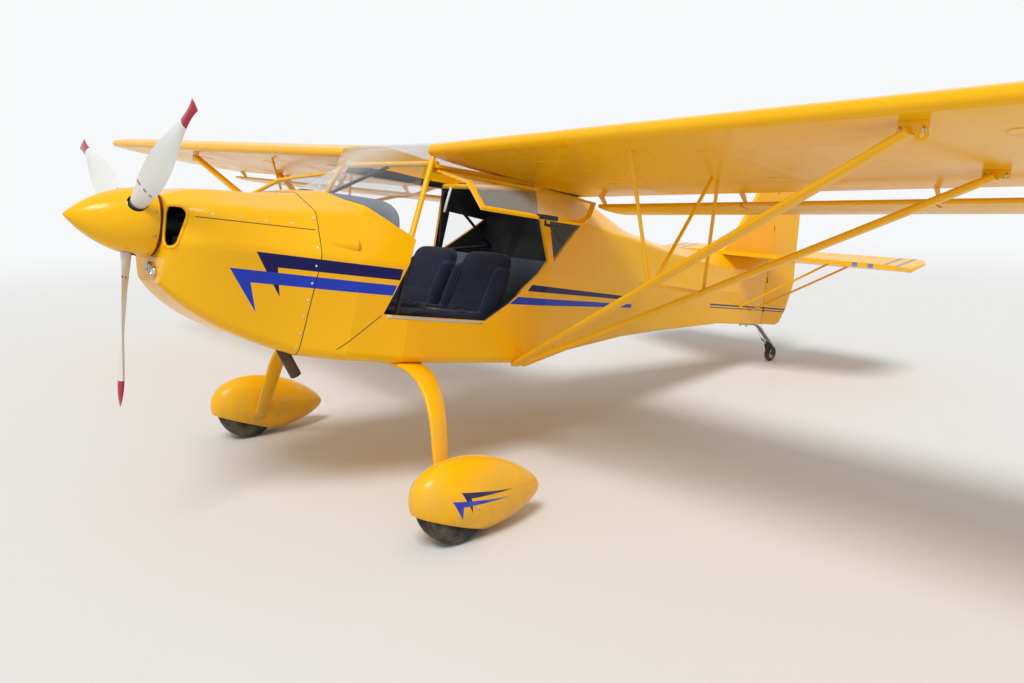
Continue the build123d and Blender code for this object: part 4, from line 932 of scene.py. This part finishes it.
def seatBlocks(look):
    # a cushion and a back with a bolster along each side
    inner, outer, front, low, top = (look[key] for key in ("inner", "outer", "front", "low", "top"))
    backLow, backTop, lean = look["backLow"], look["backTop"], look["lean"]
    blocks = [superBox((inner, front, low), (outer, look["rear"], top), look["cushionPower"]),
              superBox((inner + look["backInset"], look["backFront"], backLow),
                       (outer - look["backInset"], look["backRear"], backTop), look["backPower"], lean)]
    for start in (inner, outer - look["bolster"]):
        end, inset = start + look["bolster"], look["bolsterInset"]
        beside = (end, look["bolsterRear"], top + look["bolsterProud"])
        behind = (end, look["bolsterBack"], backTop - look["bolsterDrop"])
        blocks.append(superBox((start, front + inset, low + inset), beside, look["bolsterPower"]))
        blocks.append(superBox((start, look["bolsterFront"], backLow), behind, look["bolsterPower"], lean))
    return blocks


def seatSeams(look, level):
    # which points are held: the bolsters' edges, the seams across cushion and back, the underside and the rear
    x, y, z = level.T
    inner, outer = look["inner"] + look["bolster"], look["outer"] - look["bolster"]
    middle, onBack = (x > inner) & (x < outer), z > look["top"] + look["backAbove"]
    seamAt = np.minimum(np.abs(x - inner), np.abs(x - outer)) < look["seamHalf"]
    for place, (first, step), part in ((y, look["cushionSeams"], ~onBack), (z, look["backSeams"], onBack)):
        seamAt |= middle & part & (np.abs((place - first) % step - step / 2) < look["seamHalf"])
    upright = y - look["lean"] * (z - look["backLow"])
    return seamAt | (z < look["low"] + look["heldLow"]) | (upright > look["heldRear"])


def evaluated(piece):
    return piece.evaluated_get(bpy.context.evaluated_depsgraph_get())


def makeSeat(look):
    # one skin: voxel remesh, then cloth under pressure, pinned along its seams and its swelling capped
    seat = addPiece("seatLeft", seatBlocks(look), "seatCloth")
    remesh = seat.modifiers.new("skin", "REMESH")
    remesh.mode = "VOXEL"
    remesh.voxel_size = look["voxel"]
    bpy.context.view_layer.update()
    skin = bpy.data.meshes.new_from_object(evaluated(seat))
    seat.modifiers.clear()
    seat.data = skin
    rest = meshPoints(skin)
    pins = seat.vertex_groups.new(name="seams")
    pins.add(np.flatnonzero(seatSeams(look, levelPoints(rest))).tolist(), 1.0, "REPLACE")
    cloth = seat.modifiers.new("pad", "CLOTH").settings
    cloth.vertex_group_mass = "seams"
    cloth.use_pressure = True
    cloth.uniform_pressure_force = look["pressure"]
    cloth.effector_weights.gravity = 0.0
    cloth.quality = look["quality"]
    for step in range(1, look["frames"] + 1):
        scene.frame_set(step)
    offset = meshPoints(evaluated(seat).to_mesh()) - rest
    length = np.linalg.norm(offset, axis=1, keepdims=True)
    rest = rest + offset * np.minimum(1.0, look["cap"] / np.maximum(length, 1e-9))
    seat.modifiers.clear()
    scene.frame_set(1)
    skin.vertices.foreach_set("co", rest.ravel())
    print("stage: seat swelled by up to", round(float(np.minimum(length, look["cap"]).max()), 4), "m")
    skin.polygons.foreach_set("use_smooth", np.ones(len(skin.polygons), bool))
    skin.update()
    other = seat.copy()
    other.data = skin.copy()
    other.name = other.data.name = "seatRight"
    scene.collection.objects.link(other)
    other.data.vertices.foreach_set("co", (rest * (-1, 1, 1)).ravel())
    other.data.flip_normals()
    other.data.update()
    for piece, node in ((seat, "seat_left"), (other, "seat_right")):
        smooth = piece.modifiers.new("fine", "SUBSURF")
        smooth.levels = smooth.render_levels = 1
        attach(piece, "airframe")
        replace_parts(piece, node)
    return seat


# Belts: webbing laid across the pads with a buckle in its middle, and piping along the bolsters
belt = {"from": 0.045, "to": 0.43, "y": 1.80, "bow": 0.05, "width": 0.044, "thick": 0.003, "buckle": (0.032, 0.028),
        "buckleHeights": (0.002, 0.016), "piping": 0.004, "cushionPiping": (1.51, 1.90, 26),
        "backPiping": (-0.25, -0.03, 20)}


def dressSeats(seat):
    trees["seat"] = BVHTree.FromObject(seat, bpy.context.evaluated_depsgraph_get())
    share = np.linspace(0, 1, 26)
    across = np.stack([belt["from"] + (belt["to"] - belt["from"]) * share,
                       belt["y"] - belt["bow"] * np.sin(np.pi * share), 0.3 + 0 * share], -1)
    places, normals = ontoSurface(["seat"], across, (0, 0, -1))
    straps = [alongPath(places + normals * 0.003, flatSection(belt["width"], belt["thick"]), normals)]
    spot, (wide, deep), (low, high) = places[len(places) // 2], belt["buckle"], belt["buckleHeights"]
    buckles = [superBox(spot + (-wide, -deep, -low), spot + (wide, deep, high), 0.25)]
    cords = []
    for x in (seatShape["inner"] + seatShape["bolster"], seatShape["outer"] - seatShape["bolster"]):
        for line, way in (([(x, y, 0.3) for y in np.linspace(*belt["cushionPiping"])], (0, 0, -1)),
                          ([(x, 0.9, z) for z in np.linspace(*belt["backPiping"])], (0, 1, 0))):
            places, normals = ontoSurface(["seat"], line, way)
            cords.append(alongPath(places, roundSection(belt["piping"], 8), normals))
    for side, label in bothSides:
        for name, grids, material in (("belts", straps, "webbing"), ("buckles", buckles, "steel"),
                                      ("piping", cords, "piping")):
            addPiece(name + label, [grid * (side, 1, 1) for grid in grids], material)
    print("stage: seats dressed")


# Wheel fairings and spring legs; wide and high are half sizes, and the leg tapers from its root to its foot
pant = {"nose": 1.143, "length": 0.732, "middle": 1.038, "height": -1.040, "wide": 0.127, "high": 0.175, "skin": 0.004,
        "bottom": -1.202, "cutHeight": -1.104, "cutSlope": 0.234, "fullness": (0.50, 0.55, 0.62), "lead": 0.76}
leg = {"rootX": 0.20, "cornerX": 0.735, "top": -0.555, "footX": 0.930, "footZ": -1.109, "bend": 0.260, "thick": 0.022,
       "rootY": 1.489, "rootWide": 0.176, "footY": 1.400, "footWide": 0.074, "taperX": 0.34, "taperPower": 0.9,
       "corner": 0.007}


def pantWall(look, inset, rows=96, columns=72):
    # r(t) = sin(pi t^lead)^fullness times the half sizes, open where it dips below a sloping plane round the tyre
    t = 0.5 - 0.5 * np.cos(np.linspace(0, np.pi, rows))[:, None]
    full = np.interp(t, (0, 0.45, 1), look["fullness"])
    share = np.maximum(np.sin(np.pi * t ** look["lead"]), 0) ** full
    scale = 1 - inset / (look["length"] / 2)
    y = look["nose"] + look["length"] * (0.5 + (t - 0.5) * scale)
    a, b = (share * (look[size] - inset) for size in ("wide", "high"))
    cut = look["cutHeight"] - look["cutSlope"] * (y - look["nose"])
    gap = np.arccos(np.clip((look["height"] - cut) / np.maximum(b, 1e-6), -1, 0.999998))
    turn = gap + (2 * np.pi - 2 * gap) * np.linspace(0, 1, columns)[None] - np.pi / 2
    z = np.maximum(look["height"] + b * np.sin(turn), look["bottom"] + inset)
    return np.stack([look["middle"] + a * np.cos(turn), y + 0 * turn, z], -1)


def legBlade(look):
    # a strip along a straight root, a quadratic bend and a straight shank, narrowing outwards
    share = np.linspace(0, 1, 30)[:, None]
    start, corner = (np.array((x, look["top"])) for x in (look["cornerX"] - look["bend"], look["cornerX"]))
    foot = np.array((look["footX"], look["footZ"]))
    after = corner + look["bend"] * unit(foot - corner)
    curve = (1 - share) ** 2 * start + 2 * share * (1 - share) * corner + share ** 2 * after
    root = np.linspace((look["rootX"], look["top"]), start, 8)[:-1]
    line = np.concatenate([root, curve, np.linspace(after, foot, 10)[1:]])
    fall = np.clip((line[:, 0] - look["taperX"]) / (look["footX"] - look["taperX"]), 0, 1) ** look["taperPower"]
    path = np.stack([line[:, 0], look["rootY"] + (look["footY"] - look["rootY"]) * fall, line[:, 1]], -1)
    widths = look["rootWide"] + (look["footWide"] - look["rootWide"]) * fall
    lift = np.cross((0, -1.0, 0), unit(np.gradient(path * (1, 0, 1), axis=0)))
    return alongPath(path, flatSection(widths, look["thick"], look["corner"]), lift)


def makeUndercarriage():
    shell = np.concatenate([pantWall(pant, 0), pantWall(pant, pant["skin"])[:, ::-1]], 1)
    blade = legBlade(leg)
    for side, label in bothSides:
        for name, grid, material, node in (("wheelFairing", shell, "fairingPaint", "wheel_pant_"),
                                           ("springLeg", blade, "tubePaint", "gear_leg_")):
            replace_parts(addPiece(name + label, [grid * (side, 1, 1)], material), node + label.lower())
    print("stage: fairings and legs made")


# Wing and wheels: rings under the wing, filler caps on top, bolts at the strut heads and fairings, brake calipers
fittings = {"ringsX": (0.95, 1.85, 2.95, 3.85), "ringsY": (1.78, 2.30), "cap": (0.78, 1.86),
            "ring": [(0, 0.0012), (0.040, 0.0012), (0.047, 0.0022), (0.050, 0.0004), (0.050, -0.001), (0, -0.001)],
            "filler": [(0, 0.012), (0.020, 0.012), (0.030, 0.009), (0.034, 0.004), (0.046, 0.003), (0.046, -0.002),
                       (0, -0.002)],
            "pantBolt": (1.1625, 1.405, -1.062), "pantBoltSize": 0.8, "strutX": 2.706, "strutHalf": 0.036,
            "strutHeads": ((1.592, 0.524), (2.284, 0.488)),
            "caliper": (0.9495, 0.019, (1.340, -1.062), (1.396, -0.975))}


def dressWing():
    rings, caps = [], []
    for side, label in bothSides:
        wing = ["wing_" + label.lower()]
        spots = [(side * x, y, -1.0) for x in fittings["ringsX"] for y in fittings["ringsY"]]
        rings += studsAt(*ontoSurface(wing, spots, (0, 0, 1)), fittings["ring"], 32)
        x, y = fittings["cap"]
        caps += studsAt(*ontoSurface(wing, [(side * x, y, 2.0)], (0, 0, -1)), fittings["filler"], 32)
    addPiece("inspectionRings", rings, "wingCloth")
    addPiece("fillerCaps", caps, "aluminium")
    small = np.array(boltProfile) * fittings["pantBoltSize"]
    bolts = [turnedAt(np.array(fittings["pantBolt"]) * (side, 1, 1), (side, 0, 0), small, 6) for side, _ in bothSides]
    addPiece("pantBolts", bolts, "aluminium", smooth=False)
    heads = []
    for side, way in ((1, 1), (1, -1), (-1, 1), (-1, -1)):
        x, out = side * (fittings["strutX"] + way * fittings["strutHalf"]), side * way
        heads += [turnedAt((x, y, z), (out, 0, 0.04 * out), boltProfile, 6) for y, z in fittings["strutHeads"]]
    addPiece("strutBolts", heads, "aluminium", smooth=False)
    x, half, low, high = fittings["caliper"]
    calipers = [superBox((side * x - half, *low), (side * x + half, *high), 0.3) for side, _ in bothSides]
    addPiece("brakeCalipers", calipers, "aluminium")
    print("stage: wings and wheels dressed")


# Tail: a wire and a coil on each side of the tailwheel's fork, and the bolts of the tail spring's clamp
spring = {"turns": 14, "radius": 0.0065, "wire": 0.0012, "front": (0.024, 5.36, -0.425), "rear": (0.030, 5.43, -0.452),
          "lead": [(0.018, 5.262, -0.300), (0.022, 5.31, -0.38), (0.024, 5.36, -0.425)], "leadRadius": 0.0014,
          "clampBolts": ((-0.028, 5.03, -0.3185), (0.028, 5.03, -0.3185))}


def dressTail():
    # each coil is a helix: point = line + radius * (cos t, 0, sin t)
    coils = []
    turn = np.linspace(0, 2 * np.pi * spring["turns"], 14 * spring["turns"])
    for side, _ in bothSides:
        front, rear = (np.array(spring[end]) * (side, 1, 1) for end in ("front", "rear"))
        line = front + (rear - front) * (turn / turn[-1])[:, None]
        coil = line + spring["radius"] * spokes(turn)
        coils.append(alongPath(coil, roundSection(spring["wire"], 6), unit(coil - line)))
        coils.append(tube(spring["lead"], spring["leadRadius"], side, steps=5, corners=6, lift=(0.2, 0, 1)))
    addPiece("steeringSprings", coils, "steel", "tailwheel_fork")
    heads = [turnedAt(place, (0, 0, -1), boltProfile, 6) for place in spring["clampBolts"]]
    addPiece("tailSpringBolts", heads, "steel", smooth=False)


# Doors: a latch with its handle at each raised door's free edge, and a white stay hanging from it
door = {"latchX": 1.115, "latchHalf": 0.022, "latch": ((1.60, 0.200), (1.72, 0.222)), "handleRadius": 0.007,
        "handle": [(1.115, 1.66, 0.200), (1.115, 1.66, 0.180), (1.112, 1.74, 0.176)],
        "stay": [(0.62, 1.50, 0.318), (0.60, 1.50, 0.255), (0.585, 1.50, 0.20)], "stayRadius": 0.006}


def dressDoors():
    for side, label in bothSides:
        body = "door_" + label.lower()
        low, high = ((side * door["latchX"] + way * door["latchHalf"], *corner)
                     for way, corner in zip((-1, 1), door["latch"]))
        handle, stay = (np.array(door[part]) * (side, 1, 1) for part in ("handle", "stay"))
        lever = alongPath(handle, roundSection(door["handleRadius"], 12), (0.2, 0.1, 1))
        addPiece("doorLatch" + label, [superBox(low, high, 0.25), lever], "black", body)
        addPiece("doorStay" + label, [alongPath(stay, roundSection(door["stayRadius"], 12), (0, 1, 0))], "white", body)


dressNose()
dressPropeller()
dressCabin()
dressPanel()
dressSeats(makeSeat(seatShape))
makeUndercarriage()
dressWing()
dressTail()
dressDoors()
print("stage: pieces dressed")

# Studio: a pale floor that fades into a pale surround, one soft high key and an even sky
studio = {"surround": (0.93, 0.94, 0.95), "floor": (0.70, 0.70, 0.69), "skyLevel": 0.62, "keyLevel": 2.1,
          "keyFrom": (0.32, -0.46, 0.83), "keySoftness": 22, "fadeStart": 7.0, "fadeEnd": 15.0, "floorSize": 120.0}


def seenDirectly(tree):
    # 1 for what the camera sees, straight, in a reflection or through glass
    path = tree.nodes.new("ShaderNodeLightPath").outputs
    return sums("MAXIMUM", sums("MAXIMUM", path["Is Camera Ray"], path["Is Glossy Ray"]),
                path["Is Transmission Ray"])


def makeStudio(look):
    world = bpy.data.worlds.new("surround")
    scene.world = world
    tree = emptyTree(world)
    light = addNode(tree, "Background", {}, Color=(1, 1, 1), Strength=look["skyLevel"])
    seen = addNode(tree, "Background", {}, Color=look["surround"], Strength=1.0)
    mix = addNode(tree, "MixShader", {}, in0=seenDirectly(tree), in1=light.outputs[0], in2=seen.outputs[0])
    endTree(tree, "World", mix.outputs[0])

    sun = bpy.data.lights.new("key", "SUN")
    sun.energy = look["keyLevel"]
    sun.angle = math.radians(look["keySoftness"])
    lamp = bpy.data.objects.new("key", sun)
    lamp.rotation_mode = "QUATERNION"
    lamp.rotation_quaternion = Vector(look["keyFrom"]).to_track_quat("Z", "Y")
    scene.collection.objects.link(lamp)

    half = look["floorSize"] / 2
    mesh = bpy.data.meshes.new("floor")
    mesh.from_pydata([(-half, -half, 0), (half, -half, 0), (half, half, 0), (-half, half, 0)], [], [(0, 1, 2, 3)])
    floor = bpy.data.objects.new("floor", mesh)
    scene.collection.objects.link(floor)
    material = bpy.data.materials.new("paleFloor")
    tree = emptyTree(material)
    away = vectorSums("LENGTH", objectPlace(tree), output=1)
    fade = ramp(away, look["fadeStart"], look["fadeEnd"], smooth=True)
    surface = addNode(tree, "BsdfDiffuse", {}, Color=look["floor"])
    glow = addNode(tree, "Emission", {}, Color=look["surround"], Strength=1.0)
    share = sums("MULTIPLY", fade, seenDirectly(tree))
    mix = addNode(tree, "MixShader", {}, in0=share, in1=surface.outputs[0], in2=glow.outputs[0])
    endTree(tree, "Material", mix.outputs[0])
    mesh.materials.append(material)
    scene.view_settings.view_transform = "Standard"


makeStudio(studio)
print("stage: studio set")
